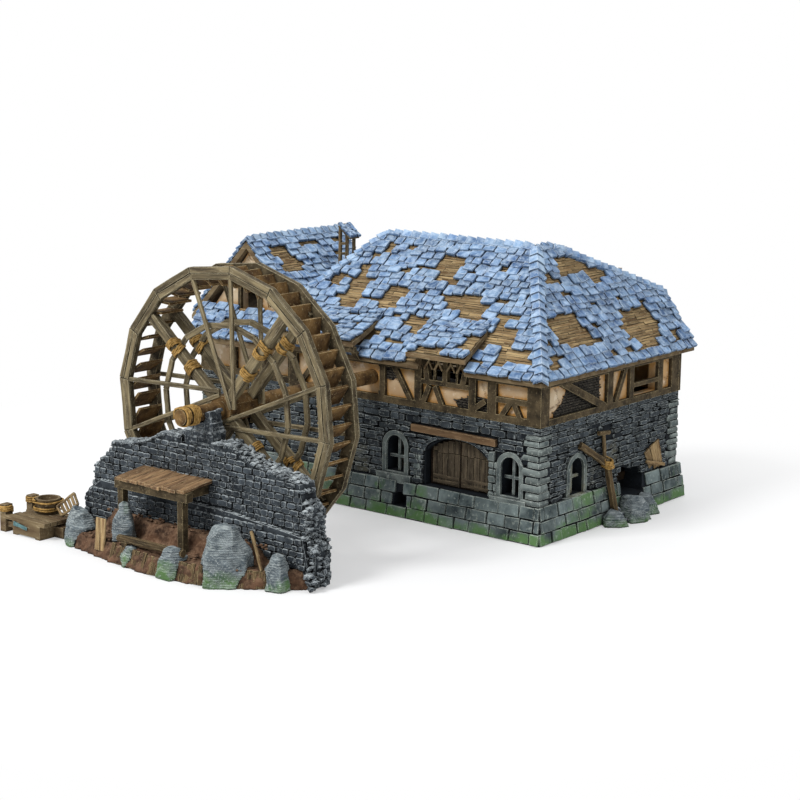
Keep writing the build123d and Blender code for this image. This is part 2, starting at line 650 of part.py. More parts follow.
def boulders_part():
    stones = [rock(-244, -214, 0, 13, 26, 20), rock(-196, -217, 0, 9, 38, 50), rock(-176, -228, 0, 9, 13, 10),
              rock(-136, -228, 0, 13, 20, 35), rock(-101, -216, 0, 20, 38, 0, 8), rock(-66, -203, 0, 12, 22, 60)]
    foot = [rock(14, 80, 0, 11, 10, 15), rock(15, 104, 0, 15, 17, 40), rock(12, 127, 0, 11, 14, 75)]
    return union(stones + foot, [plinth, wall_prop, outer_wall, garden_base, porch_deck])


garden_plan = [(-262, -172), (-262, -212), (-240, -224), (-196, -233), (-150, -238), (-110, -234), (-82, -221),
               (-58, -204), (-46, -190), (-46, -172)]
bank_plan = [(-236, -188), (-232, -206), (-190, -212), (-140, -212), (-96, -204), (-70, -188)]
pit = (-196.0, -110.0, -170.0, -130.0)


def garden_base_part():
    soil = prism_z(garden_plan, 0, 12, taper=22)
    bank = prism_z(bank_plan, 11, 24, taper=30)
    race = block(-262, -189, -174, -8, 0, 4)
    sill = block(-200, -106, -176, -126, 0, 4)
    pit_hole = block(pit[0], pit[1], pit[2], pit[3], -1, 8)
    return union([soil, bank, race, sill], [pit_hole, plinth])


def outer_wall_part():
    """The broken yard wall: a body with a ragged top, and a lower ledge along its foot."""
    profile = [(-262, 0), (-262, 30), (-256, 40), (-256, 50), (-244, 60), (-234, 70), (-208, 74), (-184, 84),
               (-122, 84), (-104, 76), (-80, 71), (-60, 68), (-58, 56), (-51, 52), (-51, 32), (-46, 26), (-46, 0)]
    body = prism_y(profile, yard_wall_y0 + ledge_t, yard_wall_y1)
    ledge = prism_y([(-262, 0), (-262, 30), (-246, 42), (-120, 40), (-54, 34), (-46, 0)], yard_wall_y0,
                    yard_wall_y0 + ledge_t)
    saddle = block(wheel_x - 15, wheel_x + 15, yard_wall_y0 - 2, yard_wall_y1 + 2, block_z, 120)
    return union([body, ledge], [saddle, garden_base])


block_z = 80.0


def axle_block_part():
    """Stacked stones that carry the near end of the axle in an open-topped groove."""
    low = prism_y([(wheel_x - 15, block_z), (wheel_x - 14, 91), (wheel_x + 14, 91), (wheel_x + 15, block_z)],
                  yard_wall_y0 + ledge_t, yard_wall_y1)
    high = prism_y([(wheel_x - 12, 91), (wheel_x - 10.5, 103), (wheel_x + 11, 106), (wheel_x + 13, 91)],
                   yard_wall_y0 + ledge_t + 2, yard_wall_y1 - 1)
    with BuildPart() as groove:
        with BuildSketch(Plane.XZ.offset(-(yard_wall_y1 + 5))):
            with Locations((wheel_x, wheel_z)):
                Circle(axle_r + fit)
        extrude(amount=32)
    slot = block(wheel_x - axle_r - fit, wheel_x + axle_r + fit, -210, -165, wheel_z, 130)
    return union([low, high], [groove.part, slot])


# The porch deck leans on the yard wall: front edge, rear edge and its height at each.
deck_x0, deck_x1 = -204.0, -137.0
deck_y0, deck_y1 = -217.0, yard_wall_y0 + ledge_t
deck_z0, deck_z1 = 54.0, 57.5
plank_t = 2.2


def porch_deck_part():
    boards = []
    count = 9
    pitch = (deck_x1 - deck_x0) / count
    for i in range(count):
        x = deck_x0 + i * pitch
        reach = i % 3
        boards.append(prism_x([(deck_y0 - reach, deck_z0), (deck_y1, deck_z1), (deck_y1, deck_z1 + plank_t),
                               (deck_y0 - reach, deck_z0 + plank_t)], x, x + pitch - 0.8))
    y = deck_y0 + 8
    tie = prism_x([(y, deck_z0 + 0.8), (y + 4, deck_z0 + 1.3), (y + 4, deck_z0 + 3.0), (y, deck_z0 + 2.6)],
                  deck_x0, deck_x1 - 0.8)
    return union(boards + [tie], [outer_wall])


def porch_frame_part():
    """Two stout posts with a beam along the front, and a bearer back to the wall at each end."""
    y0, y1 = deck_y0 + 1.5, deck_y0 + 6.5
    pieces = [block(x, x + 5, y0, y1, 5, deck_z0 + 4) for x in (deck_x0 + 1, deck_x1 - 8)]
    pieces.append(block(deck_x0 - 1.5, deck_x1 + 1, y0 - 0.5, y1 + 0.5, deck_z0 - 6, deck_z0 + 4))
    for x in (deck_x0 + 3, deck_x1 - 6):
        pieces.append(block(x - 2, x + 2, y1, deck_y1, deck_z0 - 5, deck_z1 + 2))
    slope = (deck_z1 - deck_z0) / (deck_y1 - deck_y0)
    top = prism_x([(deck_y0 - 20, deck_z0 - 20 * slope), (deck_y1 + 1, deck_z1 + slope), (deck_y1 + 1, 100),
                   (deck_y0 - 20, 100)], -300, -100)
    return union(pieces, [top, porch_deck, outer_wall, garden_base, boulders])


def log_rail_part():
    with BuildPart() as log:
        with BuildSketch(Plane.YZ.offset(-190)):
            with Locations((-227, 17)):
                Circle(2.8)
        extrude(amount=62)
    posts = [block(-186, -181, -229, -225, 3, 15), block(-146, -141, -229, -225, 3, 15)]
    return union([log.part] + posts, [garden_base, boulders, porch_frame])


jetty_x0, jetty_x1 = -308.0, -262.0
jetty_y0, jetty_y1 = -228.0, -196.0
jetty_z = 10.0


def jetty_part():
    """A low landing of planks on two bearers, with a stub post at each outer corner."""
    boards = []
    count = 5
    pitch = (jetty_y1 - jetty_y0) / count
    for i in range(count):
        y = jetty_y0 + i * pitch
        boards.append(block(jetty_x0 + (i % 3) * 2, jetty_x1 - 4, y, y + pitch - 0.8, jetty_z, jetty_z + 3))
    bearers = [block(x, x + 5, jetty_y0, jetty_y1, 0, jetty_z) for x in (jetty_x0 + 8, jetty_x1 - 14)]
    skirt = block(jetty_x0 + 8, jetty_x1 - 9, jetty_y0, jetty_y0 + 2, 1, jetty_z)
    posts = [block(jetty_x0 - 6, jetty_x0, y, y + 7, 0, 20 + lift) for y, lift in ((jetty_y0, 0), (jetty_y1 - 7, 2))]
    ties = [block(jetty_x0 - 1, jetty_x0 + 9, y, y + 3, 4, 8) for y in (jetty_y0 + 2, jetty_y1 - 5)]
    link = block(jetty_x1 - 10, jetty_x1, -214, -208, 0, 8)
    return union(boards + bearers + [skirt] + posts + ties + [link], [garden_base, boulders])


tub_x, tub_y, tub_z = -290.0, -203.0, jetty_z + 3.0


def tub_part():
    """A tapered wooden tub on the landing, open at the top."""
    with BuildPart() as tub:
        for z, radius, mode in ((0, 8.0, None), (11, 9.2, Mode.ADD), (2, 6.4, None), (12, 7.7, Mode.SUBTRACT)):
            with BuildSketch(Plane.XY.offset(tub_z + z)):
                with Locations((tub_x, tub_y)):
                    Circle(radius)
            if mode:
                loft(mode=mode)
    return tub.part


# The water wheel, built round its axle and placed by its centre.
def wheel_points(r, start=0.0, n=facets):
    return [(wheel_x + r * math.cos(math.radians(start + 360.0 * i / n)),
             wheel_z + r * math.sin(math.radians(start + 360.0 * i / n))) for i in range(n)]


vertex_turn = 11.25 + 5.5


def polygon_ring(r_out, r_in, y0, y1):
    return union([prism_y(wheel_points(r_out, vertex_turn), y0, y1)],
                 [prism_y(wheel_points(r_in, vertex_turn), y0 - 1, y1 + 1)])


def axle_part():
    with BuildPart() as axle:
        with BuildSketch(Plane.XZ.offset(-skin)):
            with Locations((wheel_x, wheel_z)):
                Circle(axle_r)
        extrude(amount=skin + 204)
        with BuildSketch(Plane.XZ.offset(-wheel_far)):
            Polygon(*wheel_points(10.0, 22.5, 8), align=None)
        extrude(amount=wheel_far - wheel_near)
    return axle.part


def rims_part():
    return union([polygon_ring(wheel_r, 91, wheel_near, wheel_near + rim_t),
                  polygon_ring(wheel_r, 91, wheel_far - rim_t, wheel_far)])


def paddles_part():
    """Three slanted boards to each facet, with open gaps between them."""
    boards = []
    for i in range(48):
        a = math.radians(vertex_turn + 7.5 * i + 3.75)
        flat = math.cos(math.radians(11.25))
        inner, outer = 87.0 * flat, 98.5 * flat
        tilt = 0.085
        p = (wheel_x + inner * math.cos(a - tilt), wheel_z + inner * math.sin(a - tilt))
        q = (wheel_x + outer * math.cos(a + tilt * 0.4), wheel_z + outer * math.sin(a + tilt * 0.4))
        boards.append(beam_xz(p, q, 1.7, wheel_near + rim_t, wheel_far - rim_t))
    return union(boards)


def side_layers():
    return ((wheel_near + 0.5, wheel_near + 7.0), (wheel_far - 7.0, wheel_far - 0.5))


def spokes_part():
    pieces = []
    for y0, y1 in side_layers():
        for k in range(4):
            a = math.radians(45 + 5.5 + 90 * k)
            p = (wheel_x + 8 * math.cos(a), wheel_z + 8 * math.sin(a))
            q = (wheel_x + 93 * math.cos(a), wheel_z + 93 * math.sin(a))
            pieces.append(beam_xz(p, q, 7.0, y0, y1))
    between = union([block(wheel_x - 120, wheel_x + 120, wheel_near + rim_t, wheel_far - rim_t, -20, 230)],
                    [prism_y(wheel_points(83, vertex_turn), wheel_near, wheel_far)])
    return union(pieces, [rims, axle, between])


def struts_part():
    """Pairs of thin struts that meet beside the hub, and the bars of the inner ring behind them."""
    near, far = (wheel_near + 1.0, wheel_near + rim_t), (wheel_far - rim_t, wheel_far - 1.0)
    pieces = []
    for y0, y1 in (near, far):
        for k in range(4):
            turn = 5.5 + 90 * k
            apex = math.radians(turn - 90)
            for d in (-11.25, 11.25):
                start = 11.0 - math.copysign(1.45, d)
                end = math.radians(turn + d)
                p = (wheel_x + start * math.cos(apex), wheel_z + start * math.sin(apex))
                q = (wheel_x + 93 * math.cos(end), wheel_z + 93 * math.sin(end))
                pieces.append(union([beam_xz(p, q, 2.6, y0, y1)], [rims, axle, spokes]))
    for y0, y1 in ((near[1], near[1] + 2.6), (far[0] - 2.6, far[0])):
        outer, inner = wheel_points(60, vertex_turn), wheel_points(56.5, vertex_turn)
        for i in range(facets):
            k = (i + 1) % facets
            pieces.append(union([prism_y([outer[i], outer[k], inner[k], inner[i]], y0, y1)], [spokes]))
    return loose(pieces)


plinth = plinth_part()
front_wall_right = front_wall_right_part()
right_wall = right_wall_part()
main_roof = main_roof_part()
garden_base = garden_base_part()
outer_wall = outer_wall_part()
wall_prop = wall_prop_part()
porch_deck = porch_deck_part()
boulders = boulders_part()
porch_frame = porch_frame_part()
axle = axle_part()
rims = rims_part()
paddles = paddles_part()
spokes = spokes_part()

nodes = {
    "plinth": plinth,
    "ground_floor": ground_floor_part(),
    "front_wall_left": front_wall_left_part(),
    "front_wall_right": front_wall_right,
    "front_wall_over_gate": front_wall_over_gate_part(),
    "right_wall": right_wall,
    "back_wall": back_wall_part(),
    "wing_wall": wing_wall_part(),
    "upper_floor": upper_floor_part(),
    "front_infill": front_infill_part(),
    "front_frame": front_frame_part(),
    "right_infill": right_infill_part(),
    "right_frame": right_frame_part(),
    "back_infill": back_infill_part(),
    "back_frame": back_frame_part(),
    "wing_infill": wing_infill_part(),
    "wing_frame": wing_frame_part(),
    "main_roof": main_roof,
    "wing_roof": wing_roof_part(),
    "roof_caps": roof_caps_part(),
    "pent_roof": pent_roof_part(),
    "dormer_frame": dormer_frame_part(),
    "dormer_roof": dormer_roof_part(),
    "canopy_roof": canopy_roof_part(),
    "canopy_brackets": canopy_bracket_part(),
    "roof_hood": roof_hood_part(),
    "window_frames": window_frames_part(),
    "gate_lintel": gate_lintel_part(),
    "gate_leaf_left": gate_leaf(gate_x0, gate_mid - 0.25, heel_x[0]),
    "gate_leaf_right": gate_leaf(gate_mid + 0.25, gate_x1, heel_x[1]),
    "wall_prop": wall_prop,
    "shutter_boards": shutter_boards_part(),
    "garden_base": garden_base,
    "outer_wall": outer_wall,
    "axle_block": axle_block_part(),
    "boulders": boulders,
    "porch_deck": porch_deck,
    "porch_frame": porch_frame,
    "log_rail": log_rail_part(),
    "jetty": jetty_part(),
    "tub": tub_part(),
    "wheel_axle": axle,
    "wheel_rims": rims,
    "wheel_paddles": paddles,
    "wheel_spokes": spokes,
    "wheel_struts": struts_part(),
}
for node_name, node_part in nodes.items():
    save(node_part, node_name)
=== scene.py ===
import math
import random

import bmesh
import bpy
from mathutils import Matrix, Vector, noise


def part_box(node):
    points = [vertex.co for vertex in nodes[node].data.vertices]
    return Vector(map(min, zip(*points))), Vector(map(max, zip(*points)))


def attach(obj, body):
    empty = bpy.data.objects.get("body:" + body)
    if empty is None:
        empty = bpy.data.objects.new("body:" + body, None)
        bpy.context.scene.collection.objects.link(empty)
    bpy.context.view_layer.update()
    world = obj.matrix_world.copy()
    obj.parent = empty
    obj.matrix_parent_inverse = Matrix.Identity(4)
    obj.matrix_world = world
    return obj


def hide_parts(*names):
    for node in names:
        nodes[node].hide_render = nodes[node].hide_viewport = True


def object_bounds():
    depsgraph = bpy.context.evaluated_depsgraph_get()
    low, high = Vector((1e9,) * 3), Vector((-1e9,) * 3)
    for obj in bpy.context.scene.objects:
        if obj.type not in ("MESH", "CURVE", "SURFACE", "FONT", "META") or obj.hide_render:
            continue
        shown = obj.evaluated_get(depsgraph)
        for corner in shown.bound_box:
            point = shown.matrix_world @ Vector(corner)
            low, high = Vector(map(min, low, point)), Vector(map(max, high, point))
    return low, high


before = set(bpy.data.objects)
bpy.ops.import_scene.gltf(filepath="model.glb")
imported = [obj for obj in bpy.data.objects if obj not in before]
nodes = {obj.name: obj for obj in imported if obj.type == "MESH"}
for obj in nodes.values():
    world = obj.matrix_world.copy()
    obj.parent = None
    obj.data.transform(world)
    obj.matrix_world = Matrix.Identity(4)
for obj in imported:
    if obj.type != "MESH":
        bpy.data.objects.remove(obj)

cad_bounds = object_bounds()
MM = 0.001
X, Y, Z = Vector((1, 0, 0)), Vector((0, 1, 0)), Vector((0, 0, 1))
rng = random.Random(7)
rand = rng.uniform


def node_box(name):
    low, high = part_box(name)
    return [c / MM for c in low], [c / MM for c in high]


# Measures taken from the frame, in millimetres; the rest repeats the named values of the part's source.
FLOOR_Z, EAVE_Z = node_box("plinth")[1][2], node_box("front_infill")[1][2]
(LEFT_EAVE_X, EAVE_Y, _), (EAVE_X, FAR_VERGE_Y, RIDGE_Z) = node_box("main_roof")
WHEEL_NEAR, WHEEL_FAR = (corner[1] for corner in node_box("wheel_rims"))
STRING_Z, STONE_Z = 79.0, 85.0
FRONT_LEN, DEPTH, REAR_Y, REAR_X = 235.0, 140.0, 187.0, -115.0
RIDGE_Y, HIP_X, LEFT_HIP_X = 70.0, -55.0, -195.0
HALF_HIP_Y, HALF_HIP_Z = 92.0, 157.0
WING_X0, WING_X1, WING_Y0, WING_Y1 = -336.0, -235.0, 8.0, 112.0
WING_RIDGE_X, WING_RIDGE_Z, WING_HALF, WING_EAVE_Z = -285.0, 194.0, 61.0, 129.0
WHEEL_X, WHEEL_Z, WHEEL_R, VERTEX_TURN = -153.0, 102.5, 100.0, 16.75


def rgb(code):
    """A colour written as it looks on a screen, turned into the linear values of a shader."""
    parts = [int(code[i:i + 2], 16) / 255 for i in (0, 2, 4)]
    return tuple(c / 12.92 if c <= 0.04045 else ((c + 0.055) / 1.055) ** 2.4 for c in parts) + (1.0,)


def node(tree, kind, *feeds, **settings):
    """A shader node with its settings; each feed is a socket and the value or the output that goes into it."""
    made = tree.nodes.new("ShaderNode" + kind)
    for key, value in settings.items():
        setattr(made, key, value)
    for socket, value in feeds:
        if isinstance(value, bpy.types.NodeSocket):
            tree.links.new(value, made.inputs[socket])
        else:
            made.inputs[socket].default_value = value
    return made


ROUGHNESS, SPECULAR, SHADER_SAMPLES, BUMP_DEPTH = 0.85, 0.2, 6, 0.7 * MM
SHADE_WASH_GAIN, RECESS_REACH, RIM_REACH, CRACK_WOBBLE = 0.16, 2.6 * MM, 7.0 * MM, 0.008


def painted(name, dark, base, light, scale=60.0, bump=0.3, edge=0.8, radius=0.7, recess=0.8, grain=None, stain=None,
            stain_at=(0.54, 0.64), moss=None, top=0.0, rim_stain=None, cracks=None, tint=0.3):
    """Matt miniature paint: a base coat that varies, a dark wash that also paints shade into the recesses, a
    dry-brushed edge and a painted highlight on the faces that look up.

    grain is "local" for pieces that carry their own grain direction, or a scale along X, Y and Z. moss is a colour and
    the height in mm that it reaches, cracks a scale and a colour.
    """
    dark, base, light = rgb(dark), rgb(base), rgb(light)
    mat = bpy.data.materials.new(name)
    mat.use_nodes = True
    tree = mat.node_tree
    tree.nodes.clear()

    def add(kind, *feeds, **settings):
        return node(tree, kind, *feeds, **settings)

    def attribute(key, output="Fac"):
        return add("Attribute", attribute_name=key).outputs[output]

    coords = add("TexCoord").outputs
    place = coords["Object"]
    if grain == "local":
        grained = attribute("grain", "Vector")
    else:
        grained = add("Mapping", (0, place), ("Scale", grain or (1, 1, 1))).outputs[0]

    def tex(size, detail=4.0, roughness=0.6, at=grained):
        return add("TexNoise", ("Scale", size), ("Detail", detail), ("Roughness", roughness), ("Vector", at)).outputs[0]

    def ramp(value, low, high, to_low=0.0, to_high=1.0):
        return add("MapRange", ("Value", value), ("From Min", low), ("From Max", high), ("To Min", to_low),
                   ("To Max", to_high)).outputs[0]

    def maths(operation, a, b):
        return add("Math", (0, a), (1, b), operation=operation).outputs[0]

    def mix(factor, a, b, amount=1.0):
        return add("Mix", (0, maths("MULTIPLY", factor, amount)), (6, a), (7, b), data_type="RGBA").outputs[2]

    colour = mix(ramp(tex(scale), 0.34, 0.66), dark, base)
    shade = ramp(attribute("tint"), 0.0, 1.0, 1.0 - tint, 1.0 + tint)
    colour = add("VectorMath", (0, colour), ("Scale", shade), operation="SCALE").outputs[0]
    if stain:
        colour = mix(ramp(tex(scale * 0.22, 4.0, 0.7, place), *stain_at), colour, rgb(stain), 0.75)
    if moss:
        height = add("SeparateXYZ", (0, place)).outputs["Z"]
        low = ramp(height, moss[1] * MM, 0.0, 0.0, 0.34)
        colour = mix(ramp(maths("ADD", tex(26.0, 4.0, 0.7, place), low), 0.62, 0.78), colour, rgb(moss[0]), 0.85)
    if cracks:
        bend = add("TexNoise", ("Scale", cracks[0] * 2.2)).outputs["Color"]
        bent = add("VectorMath", (0, bend), (1, (CRACK_WOBBLE,) * 3), (2, place), operation="MULTIPLY_ADD").outputs[0]
        cells = add("TexVoronoi", feature="DISTANCE_TO_EDGE")
        cells.inputs["Scale"].default_value = cracks[0]
        tree.links.new(bent, cells.inputs["Vector"])
        line = maths("MULTIPLY", ramp(cells.outputs["Distance"], 0.035, 0.015),
                     ramp(tex(cracks[0] * 0.8, 2.0, 0.5, place), 0.5, 0.56))
        colour = mix(line, colour, rgb(cracks[1]), 0.8)
    occlusion = add("AmbientOcclusion", ("Distance", RIM_REACH if rim_stain else RECESS_REACH), samples=SHADER_SAMPLES)
    hollow = maths("SUBTRACT", 1.0, occlusion.outputs["AO"])
    if rim_stain:
        ragged = maths("ADD", maths("MULTIPLY", hollow, 1.5), maths("SUBTRACT", tex(70.0, 5.0, 0.7, place), 0.55))
        colour = mix(ramp(ragged, 0.2, 0.6), colour, rgb(rim_stain), 0.9)
    # Dark wash and painted shade: the colour darkens in recesses and between parts, where shade falls.
    wash_and_shade = tuple(c * SHADE_WASH_GAIN for c in dark[:3]) + (1.0,)
    colour = mix(ramp(hollow, 0.1, 0.75), colour, wash_and_shade, recess)
    # The deep attribute paints shade on the sides of stones, tiles and boards, darker towards their bases.
    colour = mix(attribute("deep"), colour, wash_and_shade, 0.92)
    bevel = add("Bevel", ("Radius", radius * MM), samples=SHADER_SAMPLES).outputs[0]
    bent_away = add("VectorMath", (0, bevel), (1, add("NewGeometry").outputs["Normal"]), operation="DOT_PRODUCT")
    brushed = maths("MULTIPLY", ramp(bent_away.outputs["Value"], 0.99, 0.88),
                    ramp(tex(scale * 3.0, 3.0, 0.7), 0.34, 0.56))
    open_air = ramp(occlusion.outputs["AO"], 0.35, 0.8)
    colour = mix(maths("MULTIPLY", brushed, open_air), colour, light, edge)
    # top lightens the faces that look up: a painted highlight, dry-brushed as from above.
    if top:
        upward = add("SeparateXYZ", (0, coords["Normal"])).outputs["Z"]
        top_highlight = maths("MULTIPLY", ramp(upward, 0.15, 0.9), ramp(tex(scale * 2.0, 5.0, 0.75), 0.42, 0.62))
        colour = mix(maths("MULTIPLY", top_highlight, open_air), colour, light, top)
    colour = mix(ramp(tex(scale * 5.5, 2.0, 0.5), 0.6, 0.76), colour, light, 0.35)
    grit = maths("ADD", tex(scale * 1.7, 6.0, 0.65), tex(scale * 6.0, 3.0, 0.6))
    relief = add("Bump", ("Strength", bump), ("Distance", BUMP_DEPTH), ("Height", grit), ("Normal", bevel))
    shader = add("BsdfPrincipled", ("Base Color", colour), ("Roughness", ROUGHNESS), ("Specular IOR Level", SPECULAR),
                 ("Normal", relief.outputs[0]))
    add("OutputMaterial", (0, shader.outputs[0]))
    return mat


# Each row: name, dark, base and light colour, scale, bump, edge, radius, recess, grain.
M = {
    "tile": painted("blue_tiles", "4a658c", "83a1c2", "d6e6f5", 75, 0.45, 0.95, 0.75, 1.0, top=0.4, tint=0.24),
    "cap": painted("cap_tiles", "5c7aa3", "9ab6d2", "e0ecf6", 75, 0.45, 0.95, 0.8, 1.0, top=0.4, tint=0.18),
    "bare": painted("bare_boards", "634a30", "ae956b", "e2cfa6", 380, 0.6, 0.7, 0.4, 0.9, "local"),
    "raw": painted("raw_boards", "5f4a34", "93805f", "cfbf9c", 120, 0.5, 0.65, 0.4, 0.85, (0.2, 1, 1)),
    "timber": painted("dark_timber", "2c2417", "695a41", "c0ae85", 120, 0.8, 0.95, 0.6, 0.85),
    "hewn": painted("hewn_timber", "33291a", "735f43", "c4b186", 330, 0.8, 0.95, 0.6, 0.85, "local"),
    "plaster": painted("plaster", "d0ae86", "efdab8", "faf3e2", 34, 0.4, 0.3, 0.5, 0.3, stain="cf9a52",
                       stain_at=(0.58, 0.68), rim_stain="bd8433", cracks=(45.0, "4a2a14")),
    "wattle": painted("wattle", "0f0d0c", "2b2724", "8a8272", 160, 0.5, 0.9, 0.4, 0.9, top=0.3),
    "stone": painted("dark_stone", "1d2226", "454c51", "c2cac8", 75, 0.8, 0.95, 0.65, 0.95, stain="5a584a",
                     stain_at=(0.6, 0.7), top=0.6),
    "mortar": painted("mortar", "12161b", "1e252c", "3c464c", 90, 0.4, 0.25, 0.5, 0.6),
    "plinth": painted("mossy_blocks", "394345", "74807f", "ccd5ca", 60, 0.7, 0.95, 0.8, 0.95, stain="5f7f50",
                      stain_at=(0.53, 0.63), moss=("587c46", 16.0), top=0.5),
    "quoin": painted("quoin_stone", "4a5354", "868f8b", "d6ded6", 70, 0.6, 0.95, 0.6, 0.85, stain="7d785c",
                     stain_at=(0.56, 0.66), top=0.4, tint=0.2),
    "outer": painted("yard_stone", "1c2126", "484f55", "c6ced0", 80, 0.8, 0.95, 0.6, 1.0, top=0.85),
    "boulder": painted("boulder", "38424a", "6c777c", "c8cfcc", 70, 1.0, 0.9, 0.9, 0.95, (1, 1, 4),
                       moss=("56783f", 17.0), top=0.5),
    "soil": painted("soil", "35251b", "6c4f3b", "a88b70", 110, 1.0, 0.6, 0.6, 0.9, top=0.4),
    "gate": painted("gate_boards", "2b251d", "645847", "ab9b7d", 330, 0.7, 0.7, 0.4, 0.95, "local"),
    "lintel": painted("lintel_oak", "59432d", "937556", "cfb28a", 120, 0.7, 0.8, 0.6, 0.8, (0.2, 1, 1)),
    "deck": painted("deck_planks", "50392a", "a98862", "e6cda2", 330, 0.7, 0.85, 0.5, 0.95, "local"),
    "wheel": painted("wheel_wood", "3c3325", "776a50", "d2c5a0", 100, 0.6, 0.95, 0.7, 0.85),
    "board": painted("wheel_boards", "40372a", "84775a", "d8ccaa", 330, 0.8, 0.95, 0.6, 0.85, "local"),
    "paddle": painted("paddle_boards", "503a22", "957447", "e2cb9a", 110, 0.6, 0.95, 0.6, 0.85),
    "rope": painted("rope", "80602a", "c79f5e", "f2dfa8", 420, 0.8, 0.8, 0.25, 1.0, tint=0.15),
    "inside": painted("inside_boards", "241a12", "40301f", "6f5b42", 110, 0.4, 0.3, 0.5, 0.7),
    "teal": painted("teal_board", "3d5f63", "6f9698", "b5d0cf", 120, 0.4, 0.7, 0.4, 0.8),
}


def dress(key, *names):
    for name in names:
        data = nodes[name].data
        data.materials.clear()
        data.materials.append(M[key])


def kept_in(point):
    """A point in metres, moved into the box of the CAD model."""
    return Vector([min(max(c, low), high) for c, low, high in zip(point, *cad_bounds)])


GRAIN_STRETCH = 0.12


class Heap:
    """Gathers many small solids into one mesh object; each has a tint, its depth in the wall, by which its sides are
    painted darker as shade, and its grain.
    """

    def __init__(self, name, key, body="root"):
        self.name, self.key, self.body = name, key, body
        self.points, self.faces, self.tints, self.deeps, self.grains = [], [], [], [], []

    def add(self, points, faces, tint, deep=None, grain=None):
        start = len(self.points)
        self.points += [kept_in([c * MM for c in p]) for p in points]
        self.faces += [[start + i for i in f] for f in faces]
        self.tints += [tint] * len(points)
        self.deeps += deep or [0.0] * len(points)
        if grain:
            o, along = Vector(points[0]), Vector(grain).normalized()
            side = along.orthogonal().normalized()
            third = along.cross(side)
            shift = Vector((tint * 3.1, tint * 7.7, tint * 1.3))
            for p in points:
                p = Vector(p) - o
                self.grains.append(Vector((p.dot(along) * GRAIN_STRETCH, p.dot(side), p.dot(third))) * MM + shift)
        else:
            self.grains += [Vector(p) * MM for p in points]

    def done(self, *replaces, smooth=False):
        mesh = bpy.data.meshes.new(self.name)
        mesh.from_pydata(self.points, [], self.faces)
        outward = bmesh.new()
        outward.from_mesh(mesh)
        bmesh.ops.recalc_face_normals(outward, faces=outward.faces)
        outward.to_mesh(mesh)
        outward.free()
        mesh.update()
        for key, values in (("tint", self.tints), ("deep", self.deeps)):
            mesh.attributes.new(key, "FLOAT", "POINT").data.foreach_set("value", values)
        mesh.attributes.new("grain", "FLOAT_VECTOR", "POINT").data.foreach_set(
            "vector", [c for g in self.grains for c in g])
        if smooth:
            mesh.shade_smooth()
        obj = bpy.data.objects.new(self.name, mesh)
        bpy.context.scene.collection.objects.link(obj)
        mesh.materials.append(M[self.key])
        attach(obj, self.body)
        if replaces:
            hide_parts(*replaces)


def skin(rings, sides):
    """The faces round a row of rings of points, closed at both ends."""
    faces = [(i * sides + j, i * sides + (j + 1) % sides, (i + 1) * sides + (j + 1) % sides, (i + 1) * sides + j)
             for i in range(rings - 1) for j in range(sides)]
    return faces + [tuple(range(sides))[::-1], tuple((rings - 1) * sides + j for j in range(sides))]


def chip(heap, outline, n, thick, inset=0.35, shake=0.12, deeps=(1.0, 0.25, 0.0), tint=None, grain=None):
    """A thick flake on a plane: its outline stands on the plane and is pulled in and shaken at the face. Its sides are
    painted darker towards the plane, as shade between parts.
    """
    mid = sum(outline, Vector()) / len(outline)
    points = list(outline)
    for height, pull in ((0.62, 0.0), (1.0, inset)):
        for p in outline:
            inward = mid - p
            p = p + inward.normalized() * min(pull, inward.length * 0.4) + n * thick * height
            points.append(p + Vector([rand(-shake, shake) for _ in range(3)]))
    heap.add(points, skin(3, len(outline)), rng.random() if tint is None else tint,
             [d for d in deeps for _ in outline], grain)


def quad_outline(o, u, v, du, dv, wobble=0.3, corner=0.16):
    """Eight points round a rectangle with its corners knocked off and its edges shaken."""
    cu, cv = du * corner * rand(0.4, 1.3), dv * corner * rand(0.6, 1.6)
    ring = [(cu, 0), (du - cu, 0), (du, cv), (du, dv - cv), (du - cu, dv), (cu, dv), (0, dv - cv), (0, cv)]
    return [o + u * (a + rand(-wobble, wobble)) + v * (b + rand(-wobble, wobble)) for a, b in ring]


LEAST_COURSE, LEAST_STONE = 1.6, 1.8


def coursed(heap, origin, u, v, n, length, height, course=(2.6, 4.8), run=(5, 16), deep=(1.1, 3.0), gap=0.6,
            skip=None, inset=0.55, wobble=0.3, bow=0.0, corner=0.16):
    """Courses of rough stones over a rectangle; skip(a, b) says where none goes."""
    b = 0.0
    while b < height - 1.2:
        h = min(rand(*course), height - b)
        if height - b - h < LEAST_COURSE:
            h = height - b
        a = rand(-4, 0)
        while a < length:
            w = rand(*run)
            a0, a1 = max(a, 0.0), min(a + w, length)
            a += w
            if skip:
                steps = [a0 + (a1 - a0) * t / 10 for t in range(11)]
                free = [x for x in steps if not any(skip(x, b + h * s) for s in (0.15, 0.5, 0.85))]
                if len(free) < 3:
                    continue
                a0, a1 = min(free), max(free)
                if skip((a0 + a1) / 2, b + h * 0.5):
                    continue
            if a1 - a0 < LEAST_STONE:
                continue
            lift = rand(-bow, bow)
            ring = quad_outline(origin + u * (a0 + gap / 2) + v * (b + gap / 2 + lift), u, v, a1 - a0 - gap, h - gap,
                                wobble, corner)
            chip(heap, ring, n, rand(*deep), inset)
        b += h


